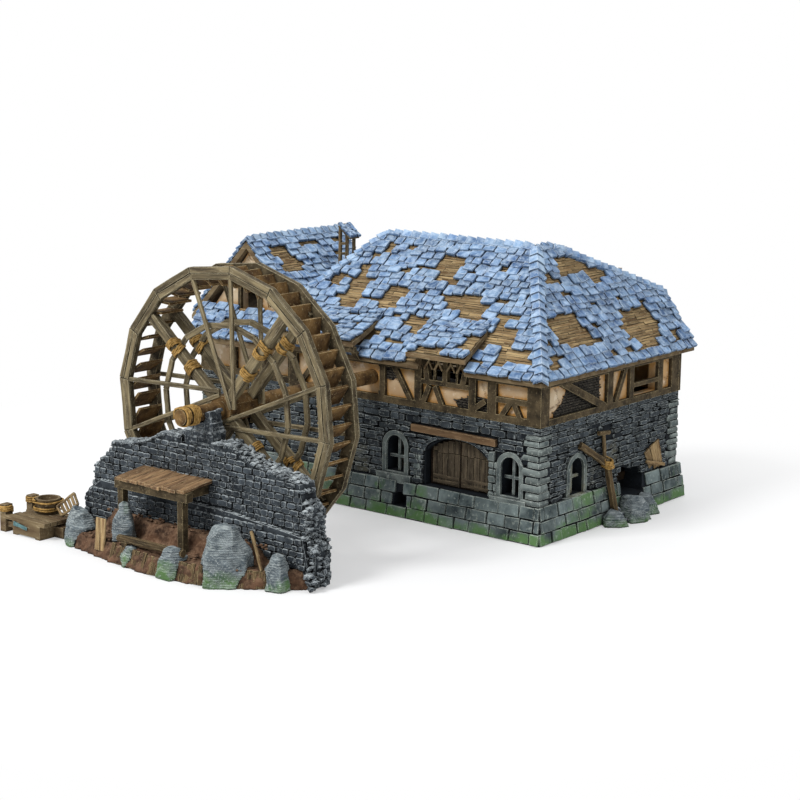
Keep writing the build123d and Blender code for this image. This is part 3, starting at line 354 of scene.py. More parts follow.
def plank(heap, p, q, width, thick, up, segments=5, rough=0.3, taper=0.0):
    """A hewn timber from p to q, its thickness along up, with slightly uneven edges and rounded arrises."""
    p, q = Vector(p), Vector(q)
    axis = (q - p).normalized()
    side = axis.cross(Vector(up)).normalized()
    top = side.cross(axis).normalized()
    points = []
    for i in range(segments + 1):
        t = i / segments
        w, h = width / 2 * (1 - taper * t), thick / 2 * (1 - taper * t)
        c = p + (q - p) * t
        k = min(0.35 * w, 0.35 * h, 0.5)
        for a, b in ((k - w, -h), (w - k, -h), (w, k - h), (w, h - k), (w - k, h), (k - w, h), (-w, h - k),
                     (-w, k - h)):
            points.append(c + side * (a + rand(-rough, rough)) + top * (b + rand(-rough, rough) * 0.5))
    heap.add(points, skin(segments + 1, 8), rng.random(), None, axis)


def pole(heap, p, q, radius, sides, segments, rough):
    p, q = Vector(p), Vector(q)
    axis = (q - p).normalized()
    x = axis.orthogonal().normalized()
    y = axis.cross(x)
    points = []
    for i in range(segments + 1):
        for j in range(sides):
            a = 2 * math.pi * j / sides
            out = x * math.cos(a) + y * math.sin(a)
            points.append(p + (q - p) * i / segments + out * (radius + rand(-rough, rough)))
    heap.add(points, skin(segments + 1, sides), rng.random(), None, axis)


def built(name, key, *rows, replaces=()):
    """One mesh of planks, and of poles in the rows that give a single radius for the width."""
    heap = Heap(name, key)
    for row in rows:
        (pole if len(row) == 6 else plank)(heap, *row)
    heap.done(*replaces)


ROPE_SIDES, ROPE_STEPS, ROPE_SQUARE = 7, 18, 3.2


def lashing(heap, centre, axis, x_dir, half_x, half_y, turns, thick, slant=0.0, loose=0.25):
    """A rope wound round a timber or log; the half sizes are those of what it holds."""
    axis, x = Vector(axis).normalized(), Vector(x_dir).normalized()
    y = axis.cross(x).normalized()
    path = []
    phase = rand(0, math.pi)
    for i in range(int(turns * ROPE_STEPS) + 1):
        a = 2 * math.pi * i / ROPE_STEPS + phase
        c, s = math.cos(a), math.sin(a)
        k = (abs(c / half_x) ** ROPE_SQUARE + abs(s / half_y) ** ROPE_SQUARE) ** (-1 / ROPE_SQUARE)
        k += thick * 0.45 + rand(0, loose)
        along = (i / ROPE_STEPS - turns / 2) * thick * 0.95 + slant * s + rand(-loose, loose) * 0.5
        path.append(Vector(centre) + x * c * k + y * s * k + axis * along)
    points, side = [], None
    for i, c in enumerate(path):
        ahead = (path[min(i + 1, len(path) - 1)] - path[max(i - 1, 0)]).normalized()
        side = ahead.orthogonal() if side is None else side - ahead * side.dot(ahead)
        side.normalize()
        w = ahead.cross(side).normalized()
        for j in range(ROPE_SIDES):
            b = 2 * math.pi * j / ROPE_SIDES
            points.append(c + (side * math.cos(b) + w * math.sin(b)) * thick * 0.5)
    heap.add(points, skin(len(path), ROPE_SIDES), rng.random())


ICO = [(0, 0, 1)] + [(math.cos(a) * 0.894, math.sin(a) * 0.894, h) for h, s in ((0.447, 0), (-0.447, 36))
                     for a in [math.radians(72 * k + s) for k in range(5)]] + [(0, 0, -1)]
FIVE = [(k, (k + 1) % 5) for k in range(5)]
ICO_FACES = [(0, 1 + k, 1 + m) for k, m in FIVE] + [(11, 6 + m, 6 + k) for k, m in FIVE] \
    + [(1 + k, 6 + k, 1 + m) for k, m in FIVE] + [(6 + k, 6 + m, 1 + m) for k, m in FIVE]


def nugget(heap, centre, *size):
    """A broken stone with flat facets, turned at random; each of its three sizes is drawn from a range."""
    size = [rand(*s) if isinstance(s, tuple) else s for s in size]
    spin = Matrix.Rotation(rand(0, 6.28), 3, "Z") @ Matrix.Rotation(rand(-0.4, 0.4), 3, "X")
    points = []
    for p in ICO:
        r = rand(0.72, 1.18)
        points.append(Vector(centre) + spin @ Vector([c * s * r for c, s in zip(p, size)]))
    heap.add(points, ICO_FACES, rng.random())


def rough_copy(name, key, voxel, push, smooth):
    """A finer copy of a solid whose surface is pushed out and in; push(point in mm, normal) is in mm."""
    obj = bpy.data.objects.new(name + "_rough", nodes[name].data.copy())
    bpy.context.scene.collection.objects.link(obj)
    obj.data.materials.clear()
    remesh = obj.modifiers.new("fine", "REMESH")
    remesh.mode, remesh.voxel_size = "VOXEL", voxel * MM
    bpy.context.view_layer.update()
    mesh = bpy.data.meshes.new_from_object(obj.evaluated_get(bpy.context.evaluated_depsgraph_get()))
    obj.modifiers.clear()
    obj.data = mesh
    normals = [v.normal.copy() for v in mesh.vertices]
    for v, n in zip(mesh.vertices, normals):
        v.co = kept_in(v.co + n * push(v.co / MM, n) * MM)
    mesh.materials.clear()
    mesh.materials.append(M[key])
    mesh.attributes.new("tint", "FLOAT", "POINT").data.foreach_set("value", [0.5] * len(mesh.vertices))
    if smooth:
        mesh.shade_smooth()
    mesh.update()
    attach(obj, "root")
    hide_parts(name)


# Roof planes, as in the part's source.
FRONT_SLOPE = (RIDGE_Z - EAVE_Z) / (RIDGE_Y - EAVE_Y)
RIGHT_SLOPE = (RIDGE_Z - EAVE_Z) / (EAVE_X - HIP_X)
LEFT_SLOPE = (RIDGE_Z - EAVE_Z) / (LEFT_HIP_X - LEFT_EAVE_X)
WING_SLOPE = (WING_RIDGE_Z - WING_EAVE_Z) / WING_HALF
WEST_X, BACK_EAVE_Y = 2 * HIP_X - EAVE_X, 2 * RIDGE_Y - EAVE_Y
VERGE, OUTSIDE = 6, -1.0


def main_roof_height(x, y):
    """Height of the main roof over a point, or a low number outside it."""
    front, back = EAVE_Z + (y - EAVE_Y) * FRONT_SLOPE, EAVE_Z + (BACK_EAVE_Y - y) * FRONT_SLOPE
    right, west = EAVE_Z + (EAVE_X - x) * RIGHT_SLOPE, EAVE_Z + (x - WEST_X) * RIGHT_SLOPE
    left = EAVE_Z + (x - LEFT_EAVE_X) * LEFT_SLOPE
    half_hip = HALF_HIP_Z + (FAR_VERGE_Y - y) * (RIDGE_Z - 1 - HALF_HIP_Z) / (FAR_VERGE_Y - HALF_HIP_Y)
    range_y = min(front, right, west, half_hip) if y <= FAR_VERGE_Y else OUTSIDE
    top = max(min(front, back, right, left), range_y)
    return top if top >= EAVE_Z - 0.5 else OUTSIDE


def wing_roof_height(x, y):
    if not WING_Y0 - VERGE <= y <= WING_Y1 + VERGE:
        return OUTSIDE
    top = WING_RIDGE_Z - abs(x - WING_RIDGE_X) * WING_SLOPE
    return top if top >= WING_EAVE_Z - 0.5 else OUTSIDE


def span_at(polygon, b):
    """The lowest and highest first coordinate of a convex polygon at second coordinate b."""
    hits = []
    for (a0, b0), (a1, b1) in zip(polygon, polygon[1:] + polygon[:1]):
        if (b0 - b) * (b1 - b) <= 0 and b0 != b1:
            hits.append(a0 + (a1 - a0) * (b - b0) / (b1 - b0))
    return (min(hits), max(hits)) if len(hits) > 1 else None


LEAST_TILE, TILE_GAP, TILE_FOOT, BOARD_EDGE = 2.2, 0.85, 0.1, 0.8


def tiled(name, origin, u, v, polygon, bare=(), hidden=None, lost=0.09, step=5.9, width=(6.5, 12.5), lift=1.9,
          eave=0.8):
    """Rows of thick tiles over rough sheathing boards, with places where they have slipped off."""
    tiles, boards = Heap(name, "tile"), Heap(name + "_boards", "bare")
    origin, u, v = Vector(origin), Vector(u).normalized(), Vector(v).normalized()
    n = u.cross(v).normalized()
    n = -n if n.z < 0 else n
    top = max(b for _, b in polygon)
    blobs = [((x0 + x1) / 2, (y0 + y1) / 2, (x1 - x0) / 2, (y1 - y0) / 2, [rand(0.85, 1.2) for _ in range(8)])
             for x0, y0, x1, y1 in bare]

    def gone(a, b):
        for cx, cy, rx, ry, wave in blobs:
            da, db = (a - cx) / rx, (b - cy) / ry
            k = int((math.atan2(db, da) / (2 * math.pi) + 0.5) * 7.99)
            if abs(da) ** 3 + abs(db) ** 3 < wave[k] ** 3:
                return True
        return False

    b, row = 0.0, 0
    while b < top - 2.5:
        pitch = step * rand(0.9, 1.1)
        span = span_at(polygon, min(b + pitch * 0.5, top - 0.1))
        if span:
            low, high = span
            a = low - rand(0, 6)
            while a < high:
                w = rand(*width)
                a0, a1 = max(a, low - 0.5), min(a + w, high + 0.5)
                a += w
                mid = origin + u * ((a0 + a1) / 2) + v * (b + pitch / 2)
                if a1 - a0 < LEAST_TILE or (hidden and hidden(mid)):
                    continue
                if gone((a0 + a1) / 2, b + pitch / 2) or (row and rng.random() < lost):
                    continue
                length = min(pitch * 1.5, top - b + 1.0)
                drop = -eave if row == 0 else rand(-1.6, 1.0)
                turn = rng.gauss(0, 0.045) if rng.random() < 0.85 else rand(-0.22, 0.22)
                across = (u + v * turn).normalized()
                foot = n * (lift * rand(0.75, 1.35) - TILE_FOOT)
                tail = ((v - u * turn).normalized() * length - foot).normalized()
                out = across.cross(tail)
                out = -out if out.dot(n) < 0 else out
                o = origin + u * (a0 + 0.25) + v * (b + drop) + foot
                ring = quad_outline(o, across, tail, a1 - a0 - TILE_GAP, length, 0.32, 0.09)
                chip(tiles, ring, out, rand(1.6, 2.8), 0.4, 0.16)
        b += pitch
        row += 1
    b = 0.6
    while b < top - 1.0:
        h = rand(1.7, 2.7)
        span = span_at(polygon, min(b + h / 2, top - 0.1))
        if span:
            a = span[0] + BOARD_EDGE
            while a < span[1] - 1.5:
                w = min(rand(9, 26), span[1] - BOARD_EDGE - a)
                if w > 1.5 and not (hidden and hidden(origin + u * (a + w / 2) + v * (b + h / 2))):
                    points = []
                    for depth in (0.0, rand(0.35, 0.95)):
                        for s, t in ((0, 0), (w - 0.3, 0), (w - 0.3, h - 0.4), (0, h - 0.4)):
                            points.append(origin + u * (a + s) + v * (b + t + rand(-0.3, 0.3)) + n * depth)
                    # Each board is painted darker at its foot on the roof, as shade between the boards.
                    boards.add(points, skin(2, 4), rng.random(), [1.0] * 4 + [0.0] * 4, u)
                a += w
        b += h
    tiles.done()
    if boards.points:
        boards.done()


DORMER, CANOPY, PENT = (-110.0, -57.0), (-238.0, -157.0), (-333.0, -241.0)
DORMER_LINE, CANOPY_LINE = ((-13.0, 128.5), (21.0, 150.5)), ((-19.0, 130.5), (18.0, 147.0))
PENT_LINE = ((-16.0, 117.0), (5.0, 140.0))


def under_wing(p):
    """Where a main-roof tile would lie inside the wing or under the pent roof."""
    return p.z < wing_roof_height(p.x, p.y) or (p.x < -240 and p.y < WING_Y0 - 2)


def front_hidden(p):
    return (under_wing(p) or DORMER[0] - 1 < p.x < DORMER[1] + 1 and -9 < p.y < 16
            or CANOPY[0] < p.x < CANOPY[1] and -2 < p.y < 11)


ROOF_RISE = RIDGE_Z - EAVE_Z
front_len, right_len, left_len = (math.hypot(run, ROOF_RISE) for run in
                                  (RIDGE_Y - EAVE_Y, EAVE_X - HIP_X, LEFT_HIP_X - LEFT_EAVE_X))
front_bare = [(-136, 78, -106, 99), (-168, 41, -144, 64), (-203, 37, -187, 77), (-112, 48, -72, 66),
              (-54, 43, -37, 56), (-55, 22, -33, 43), (-42, 10, -14, 22), (-132, 27, -111, 40), (-75, 86, -64, 94),
              (-166, 17, -149, 24), (-141, 10, -122, 18), (-190, 94, -179, 103), (-226, 58, -212, 72)]
right_bare = [(76, 75, 120, 93), (110, 71, 140, 82), (33, 18, 74, 47), (122, 7, 168, 38), (174, 7, 192, 19),
              (59, 68, 74, 79), (16, 8, 28, 20)]
tiled("front_roof_tiles", (0, EAVE_Y, EAVE_Z), X, (0, RIDGE_Y - EAVE_Y, ROOF_RISE),
      [(LEFT_EAVE_X, 0), (EAVE_X, 0), (HIP_X, front_len), (LEFT_HIP_X, front_len)], front_bare, front_hidden)
far_b = (HALF_HIP_Z - EAVE_Z) / ROOF_RISE * right_len
side_shape = [(FAR_VERGE_Y, 0), (FAR_VERGE_Y, far_b), (HALF_HIP_Y, right_len), (RIDGE_Y, right_len)]
tiled("right_roof_tiles", (EAVE_X, 0, EAVE_Z), Y, (HIP_X - EAVE_X, 0, ROOF_RISE), [(EAVE_Y, 0)] + side_shape,
      right_bare)
tiled("west_roof_tiles", (WEST_X, 0, EAVE_Z), Y, (EAVE_X - HIP_X, 0, ROOF_RISE), [(BACK_EAVE_Y, 0)] + side_shape,
      [(172, 18, 196, 42)])
half_run, half_rise = FAR_VERGE_Y - HALF_HIP_Y, RIDGE_Z - 1 - HALF_HIP_Z
half_side = (HALF_HIP_Z - EAVE_Z) / RIGHT_SLOPE
half_len = math.hypot(half_run, half_rise)
tiled("half_hip_tiles", (0, FAR_VERGE_Y, HALF_HIP_Z), X, (0, -half_run, half_rise),
      [(EAVE_X - half_side, 0), (WEST_X + half_side, 0), (HIP_X - 0.7, half_len), (HIP_X + 0.7, half_len)],
      [(-62, 26, -44, 50)], eave=-2.4)
tiled("back_roof_tiles", (0, BACK_EAVE_Y, EAVE_Z), X, (0, EAVE_Y - RIDGE_Y, ROOF_RISE),
      [(LEFT_EAVE_X, 0), (WEST_X, 0), (HIP_X, front_len), (LEFT_HIP_X, front_len)],
      [(-190, 26, -158, 54), (-142, 62, -116, 86), (-220, 62, -204, 80)], under_wing)
tiled("left_roof_tiles", (LEFT_EAVE_X, 0, EAVE_Z), Y, (LEFT_HIP_X - LEFT_EAVE_X, 0, ROOF_RISE),
      [(EAVE_Y, 0), (BACK_EAVE_Y, 0), (RIDGE_Y, left_len)], [(48, 76, 66, 98)], under_wing)
wing_rise = WING_RIDGE_Z - WING_EAVE_Z
wing_len = math.hypot(WING_HALF, wing_rise)
for side, name, eave, bare in ((1, "wing_right_tiles", 0.8, [(18, 50, 44, 80), (70, 26, 88, 48)]),
                               (-1, "wing_left_tiles", -2.4, [(56, 38, 92, 62), (18, 10, 36, 30)])):
    tiled(name, (WING_RIDGE_X + side * WING_HALF, 0, WING_EAVE_Z), Y, (-side * WING_HALF, 0, wing_rise),
          [(WING_Y0 - VERGE, 0), (WING_Y1 + VERGE, 0), (WING_Y1 + VERGE, wing_len), (WING_Y0 - VERGE, wing_len)], bare,
          lambda p: p.z < main_roof_height(p.x, p.y), eave=eave)
for name, (x0, x1), ((y0, z0), (y1, z1)), bare in (
        ("dormer_tiles", DORMER, DORMER_LINE, [(-96, -1, -76, 7), (-68, 10, -58, 20)]),
        ("canopy_tiles", CANOPY, CANOPY_LINE, [(-214, 12, -196, 26)]),
        ("pent_tiles", PENT, PENT_LINE, [(-296, 10, -282, 20)])):
    length = math.hypot(y1 - y0, z1 - z0)
    tiled(name, (0, y0, z0), X, (0, y1 - y0, z1 - z0), [(x0, 0), (x1, 0), (x1, length), (x0, length)], bare,
          lambda p: p.z < main_roof_height(p.x, p.y) - 0.5, 0.08)
tiled("hood_tiles", (-237, 0, 194.6), Y, (-12, 0, 9.6), [(71.5, 0), (84.5, 0), (84.5, 15.4), (71.5, 15.4)], lost=0.0,
      step=4.4, width=(4, 6), lift=0.8, eave=0.2)
built("hood_timbers", "hewn", ((-237.4, 78, 194.2), (-249.2, 78, 203.7), 12.6, 1.4, (9.6, 0, 12), 4, 0.2),
      *[((x, y, 168), (x, y, 194.6 - (x + 237) * 0.8 - 1.0), 2.5, 2.5, Y, 5, 0.2)
        for x, y in ((-248.6, 73.8), (-241.4, 73.8), (-248.6, 82.2), (-241.4, 82.2))],
      *[((-248.6, 73.8, z), (-241.4, 73.8, z + 1), 2.0, 1.6, Y, 3, 0.15) for z in (181, 189)], replaces=["roof_hood"])
rows, LIGHT_Y = [((DORMER[0] - 0.5, -13.4, 126.4), (DORMER[1] + 0.5, -13.4, 126.4), 3.4, 1.6, Y, 9, 0.25)], -3.2
for x0, x1 in ((-101.0, -84.5), (-80.5, -64.0)):
    for a, b in ((x0, (x0 + x1) / 2 - 0.8), ((x0 + x1) / 2 + 0.8, x1)):
        peak = (a + b) / 2
        rows += [((foot, LIGHT_Y, 115.5), (peak, LIGHT_Y, 121.5), 1.3, 1.6, Y, 3, 0.1) for foot in (a, b)]
        rows.append(((peak, LIGHT_Y, 120.5), (peak, LIGHT_Y, 124.5), 1.1, 1.4, Y, 3, 0.08))
built("dormer_board_and_lights", "raw", *rows)
dress("raw", "main_roof", "wing_roof", "pent_roof", "dormer_roof", "canopy_roof")

# Folded cap tiles: five points across each of three rows, and the same again underneath.
CAP_THICK = 2.6
CAP_FACES = []
for r in (0, 5):
    for k in range(4):
        a = r + k
        CAP_FACES += [(a, a + 1, a + 6, a + 5), (15 + a, 20 + a, 21 + a, 16 + a)]
    CAP_FACES += [(r, r + 5, r + 20, r + 15), (r + 4, r + 19, r + 24, r + 9)]
for k in range(4):
    CAP_FACES += [(k, 15 + k, 16 + k, k + 1), (10 + k, 11 + k, 26 + k, 25 + k)]


def cap_tiles(heap, p, q, half, slope_a, slope_b, step=7.6):
    """Cap tiles overlapping along a ridge or hip; the slopes are the two roof planes' downward directions."""
    p, q = Vector(p), Vector(q)
    axis = (q - p).normalized()
    count = max(2, round((q - p).length / step))
    step = (q - p).length / count
    sides = [(s - axis * s.dot(axis)).normalized() for s in (slope_a, slope_b)]
    top = -(sides[0] + sides[1]).normalized()
    for i in range(count):
        w = half * rand(0.85, 1.15)
        twist, lean = rand(-0.7, 0.7), rand(-0.25, 0.35)
        length = step * rand(1.2, 1.4)
        if q.z - p.z < 1 and i == count - 1:
            length = step
        points = []
        for s, rise in ((0.0, 5.3 + lean), (length * 0.5, 4.4 + lean), (length, 3.2)):
            c = p + axis * (i * step + s + (0.6 if i == 0 else -1.0)) + top * (rise - (1.2 if i == 0 else 0.0))
            flare = 1.0 if s == 0 else 0.9
            for side, k, sag in ((0, 1.0, 0), (0, 0.5, 0.25), (None, 0, 0.35), (1, 0.5, 0.25), (1, 1.0, 0)):
                offset = Vector()
                if side is not None:
                    offset = sides[side] * (w * k * flare + twist * (0.3 - 0.6 * side))
                points.append(c + offset + top * (sag + rand(-0.12, 0.12)) + axis * rand(-0.35, 0.35))
        # The undersides of the cap tiles are painted darker, as shade under them.
        heap.add(points + [pt - top * CAP_THICK for pt in points], CAP_FACES, rng.random(), [0.0] * 15 + [0.8] * 15)


caps = Heap("ridge_and_hip_caps", "cap")
front_down, back_down = Vector((0, EAVE_Y - RIDGE_Y, -ROOF_RISE)), Vector((0, RIDGE_Y - EAVE_Y, -ROOF_RISE))
right_down, west_down = Vector((EAVE_X - HIP_X, 0, -ROOF_RISE)), Vector((HIP_X - EAVE_X, 0, -ROOF_RISE))
left_down, half_down = Vector((LEFT_EAVE_X - LEFT_HIP_X, 0, -ROOF_RISE)), Vector((0, half_run, -half_rise))
wing_down = [Vector((s * WING_HALF, 0, -wing_rise)) for s in (1, -1)]
left_hip, right_hip = (LEFT_HIP_X, RIDGE_Y, RIDGE_Z), (HIP_X, RIDGE_Y, RIDGE_Z)
half_hip = (HIP_X, HALF_HIP_Y, RIDGE_Z - 1)
cap_tiles(caps, (LEFT_HIP_X - 1, RIDGE_Y, RIDGE_Z), right_hip, 5.6, front_down, back_down, 8.6)
cap_tiles(caps, right_hip, (HIP_X, HALF_HIP_Y + 1, RIDGE_Z - 1), 5.6, right_down, west_down, 8.0)
cap_tiles(caps, (EAVE_X, EAVE_Y, EAVE_Z), right_hip, 6.6, front_down, right_down)
LEFT_HIP_FOOT_Z = 154.0
t = (LEFT_HIP_FOOT_Z - EAVE_Z) / ROOF_RISE
foot = (LEFT_EAVE_X + (LEFT_HIP_X - LEFT_EAVE_X) * t, EAVE_Y + (RIDGE_Y - EAVE_Y) * t, LEFT_HIP_FOOT_Z)
cap_tiles(caps, foot, left_hip, 4.6, front_down, left_down)
for x, down in ((EAVE_X - half_side, right_down), (WEST_X + half_side, west_down)):
    cap_tiles(caps, (x, FAR_VERGE_Y, HALF_HIP_Z), half_hip, 5.0, down, half_down, 7.8)
cap_tiles(caps, (WING_RIDGE_X, WING_Y0 - VERGE, WING_RIDGE_Z), (WING_RIDGE_X, WING_Y1 + VERGE, WING_RIDGE_Z), 5.4,
          *wing_down, 8.4)
caps.done("roof_caps")

# The stone storey. A window is left, right, sill, spring and top.
GATE = (-101.0, -43.0, FLOOR_Z, 53.0, 65.5)
FRONT_WINDOWS = [(-137.5, -120.0, 33.0, 53.0, 61.0), (-31.5, -15.0, 31.0, 52.0, 60.0)]
RIGHT_WINDOW, DRAIN = (38.0, 57.0, 27.5, 46.0, 55.0), (-127, -115, 8, 15, 19)
HOLE = [(105, 14), (121, 12.5), (134, 15), (137, 26), (133, 36), (124, 33), (113, 37), (104, 33)]
CORNER, SURROUND = 11, 3.5


def in_arch(a, b, w, grow):
    x0, x1, sill, spring, top = w
    if not x0 - grow < a < x1 + grow or b < sill - grow:
        return False
    if b < spring:
        return True
    half, mid = (x1 - x0) / 2 + grow, (x0 + x1) / 2
    return b < spring + (top + grow - spring) * math.sqrt(max(0.0, 1 - ((a - mid) / half) ** 2))


def in_polygon(points, a, b):
    inside = False
    for (x0, y0), (x1, y1) in zip(points, points[1:] + points[:1]):
        if (y0 > b) != (y1 > b) and a < (x1 - x0) * (b - y0) / (y1 - y0) + x0:
            inside = not inside
    return inside


def front_skip(a, b):
    x, z = a - FRONT_LEN, b + FLOOR_Z
    if any(in_arch(x, z, w, SURROUND) or (w[0] - 8 < x < w[1] + 7 and w[2] - 8.2 < z < w[2] - 1.2)
           for w in FRONT_WINDOWS):
        return True
    lintel, jamb = -113.5 < x < -35.5 and 65.6 < z < 72.4, -42 < x < -35 and z < 62
    return in_arch(x, z, GATE, 1.2) or lintel or x > -CORNER or jamb


def right_skip(a, b):
    z = b + FLOOR_Z
    sill, socket = 31 < a < 64 and 22 < z < 27.6, 81 < a < 94 and 60 < z < 73
    return (in_arch(a, z, RIGHT_WINDOW, SURROUND) or sill or in_polygon(HOLE, a, z) or socket
            or a < CORNER or a > REAR_Y - CORNER)


def plain_skip(low, high, window=None):
    """Leaves room at a wall's ends for corner stones, and for an arched window measured along the wall."""
    return lambda a, b: bool(window and in_arch(a, b + FLOOR_Z, window, 1.0)) or a < low or a > high


WALL_SIDES = [(-FRONT_LEN, 0, X, -Y, FRONT_LEN, front_skip), (0, 0, Y, X, REAR_Y, right_skip),
              (WING_X0, WING_Y0, X, -Y, WING_X1 - WING_X0 - 1, plain_skip(CORNER, 999, (36, 52, 42, 58, 66))),
              (WING_X0, WING_Y1, -Y, -X, WING_Y1 - WING_Y0, plain_skip(CORNER, 93, (46, 62, 42, 58, 66))),
              (WING_X1, WING_Y1, -X, Y, WING_X1 - WING_X0, plain_skip(-1, 90)),
              (-FRONT_LEN, DEPTH, -Y, -X, DEPTH - WING_Y1, plain_skip(CORNER, 999)),
              (REAR_X, DEPTH, -X, Y, FRONT_LEN + REAR_X, plain_skip(-1, 109, (57, 75, 40, 58, 66))),
              (REAR_X, REAR_Y, -Y, -X, REAR_Y - DEPTH, plain_skip(CORNER, 999)),
              (0, REAR_Y, -X, Y, -REAR_X, plain_skip(CORNER, 104, (50, 68, 40, 58, 66))),
              (-FRONT_LEN, WING_Y0, -Y, -X, WING_Y0, None)]
walls, strings = Heap("wall_stones", "stone"), Heap("string_course", "stone")
for x, y, along, out, length, skip in WALL_SIDES:
    coursed(walls, Vector((x, y, FLOOR_Z)), along, Z, out, length, STRING_Z - FLOOR_Z, skip=skip, bow=0.35)
    coursed(strings, Vector((x, y, STRING_Z)), along, Z, out, length, STONE_Z - STRING_Z, (2.8, 3.2), (9, 20),
            (2.1, 3.4), 0.35, None, 0.4, 0.15)
walls.done()
dress("mortar", "front_wall_left", "front_wall_right", "front_wall_over_gate", "right_wall", "back_wall", "wing_wall")


def corner_stones(heap, z, z_top, x, y, out_x, out_y):
    """Long and short flat blocks stacked at a corner."""
    lx, ly = 13.5, 9.5
    while z < z_top - 1.5:
        h = min(rand(4.2, 5.9) if heap is quoins else 3.0, z_top - z)
        proud = rand(2.4, 3.2)
        x0, x1 = sorted((x + out_x * proud, x - out_x * lx * rand(0.88, 1.08)))
        y0, y1 = sorted((y + out_y * proud, y - out_y * ly * rand(0.88, 1.08)))
        ring = quad_outline(Vector((x0, y0, z + 0.4)), X, Y, x1 - x0, y1 - y0, 0.4, 0.08)
        # The lowest ring of each block is painted a little darker, as shade under it.
        chip(heap, ring, Z, h - 1.1, 0.6, 0.35, (0.6, 0.0, 0.0))
        z += h
        lx, ly = ly, lx


quoins = Heap("corner_stones", "quoin")
for corner in ((0, 0, 1, -1), (0, REAR_Y, 1, 1), (REAR_X, REAR_Y, -1, 1), (-FRONT_LEN, DEPTH, -1, 1),
               (WING_X0, WING_Y0, -1, -1), (WING_X0, WING_Y1, -1, 1)):
    corner_stones(quoins, FLOOR_Z, STRING_Z, *corner)
    corner_stones(strings, STRING_Z, STONE_Z, *corner)
for x, length, height, run, deep in ((-42.6, 7.4, 35, (7, 9), (1.8, 2.8)), (-111.5, 7.0, 31, (6, 8), (1.4, 2.4))):
    coursed(quoins, Vector((x, 0, FLOOR_Z)), X, Z, -Y, length, height, (4.6, 6.4), run, deep, 0.5)
quoins.done()
strings.done()
dress("quoin", "window_frames")

# A flush ring of dark wedges over the gate.
ring_stones = Heap("gate_arch_stones", "stone")
mid, half = (GATE[0] + GATE[1]) / 2, (GATE[1] - GATE[0]) / 2
WEDGES, WEDGE = 13, 4.2
for i in range(WEDGES):
    a0, a1 = math.pi * (i + 0.04) / WEDGES, math.pi * (i + 0.96) / WEDGES
    ring = [Vector((mid - (half + r) * math.cos(a), 0, GATE[3] + (GATE[4] - GATE[3] + r * 0.55) * math.sin(a)))
            for a, r in ((a0, 0.2), (a1, 0.2), (a1, WEDGE), (a0, WEDGE))]
    chip(ring_stones, ring, -Y, rand(1.2, 1.8), 0.3)
ring_stones.faces = [face[::-1] for face in ring_stones.faces]
ring_stones.done()

# The plinth's blocks; a row starts past the corner so that the two sides meet.
blocks = Heap("plinth_blocks", "plinth")
BATTER_FOOT, BATTER_TOP, OVERRUN = 8.0, 3.0, 1.7
batter_len = Vector((0, BATTER_FOOT - BATTER_TOP, FLOOR_Z)).length
batter = (BATTER_FOOT - BATTER_TOP) / batter_len
for x, y, along, outward, length, skip in (
        (-FRONT_LEN - 8, 0, X, -Y, FRONT_LEN + 16, lambda a, b: in_arch(a - FRONT_LEN - 8, b, DRAIN, 0.6)),
        (0, -8, Y, X, REAR_Y + 16, lambda a, b: in_polygon(HOLE, a - 8, b)),
        (8, REAR_Y, -X, Y, 16 - REAR_X, None), (REAR_X, REAR_Y + 8, -Y, -X, REAR_Y - DEPTH, None),
        (REAR_X - 3, DEPTH, -X, Y, FRONT_LEN + REAR_X + 5, None),
        (-FRONT_LEN, DEPTH + 8, -Y, -X, DEPTH - WING_Y1, None),
        (WING_X1 - 3, WING_Y1, -X, Y, WING_X1 - WING_X0 + 5, None),
        (WING_X0, WING_Y1 + 8, -Y, -X, WING_Y1 - WING_Y0 + 16, None), (WING_X0 - 8, WING_Y0, X, -Y, 100, None),
        (-FRONT_LEN, WING_Y0 - 2, -Y, -X, WING_Y0 + 6, None)):
    up = (-outward * (BATTER_FOOT - BATTER_TOP) + Z * FLOOR_Z).normalized()
    face = along.cross(up)
    face = -face if face.dot(outward) < 0 else face
    full = length + 2 * OVERRUN

    def beyond(a, b):
        return not batter * b - 0.2 < a < full - batter * b + 0.2 or bool(skip and skip(a - OVERRUN, b))

    coursed(blocks, Vector((x, y, 0)) + outward * BATTER_FOOT - along * OVERRUN, along, up, face, full, batter_len,
            (7.8, 9.4), (11, 22), (1.0, 2.6), 0.6, beyond, 0.6, 0.4, 0.0, 0.05)
blocks.done()
dress("mortar", "plinth")
dress("inside", "ground_floor", "upper_floor")

# The timber storey: the frames take the dark timber material, and wattle shows where plaster has fallen.
dress("plaster", "front_infill", "right_infill", "back_infill", "wing_infill")
dress("timber", "front_frame", "right_frame", "back_frame", "wing_frame", "dormer_frame", "canopy_brackets",
      "porch_frame")
wattle = Heap("wattle_patches", "wattle")
FRONT_PATCHES = [[(-73.8, 95.3), (-64, 98), (-60.8, 100.6), (-38.8, 99.1), (-38.6, 88), (-58.5, 88), (-72.7, 90.4)],
                 [(-142, 114), (-129.3, 114), (-128, 106), (-133, 102), (-141.6, 103)],
                 [(-215, 111), (-203, 113), (-200, 104), (-210, 100)]]
RIGHT_PATCHES = [[(17, 88.2), (17, 93), (26.5, 97.9), (30.5, 103), (34, 112), (76, 112), (77.2, 88.6), (65.3, 86),
                  (41.6, 86.6)],
                 [(89, 95.3), (96, 93), (104.8, 89.5), (103.5, 86.3), (88, 86.1)]]
WATTLE_ROW = 2.0


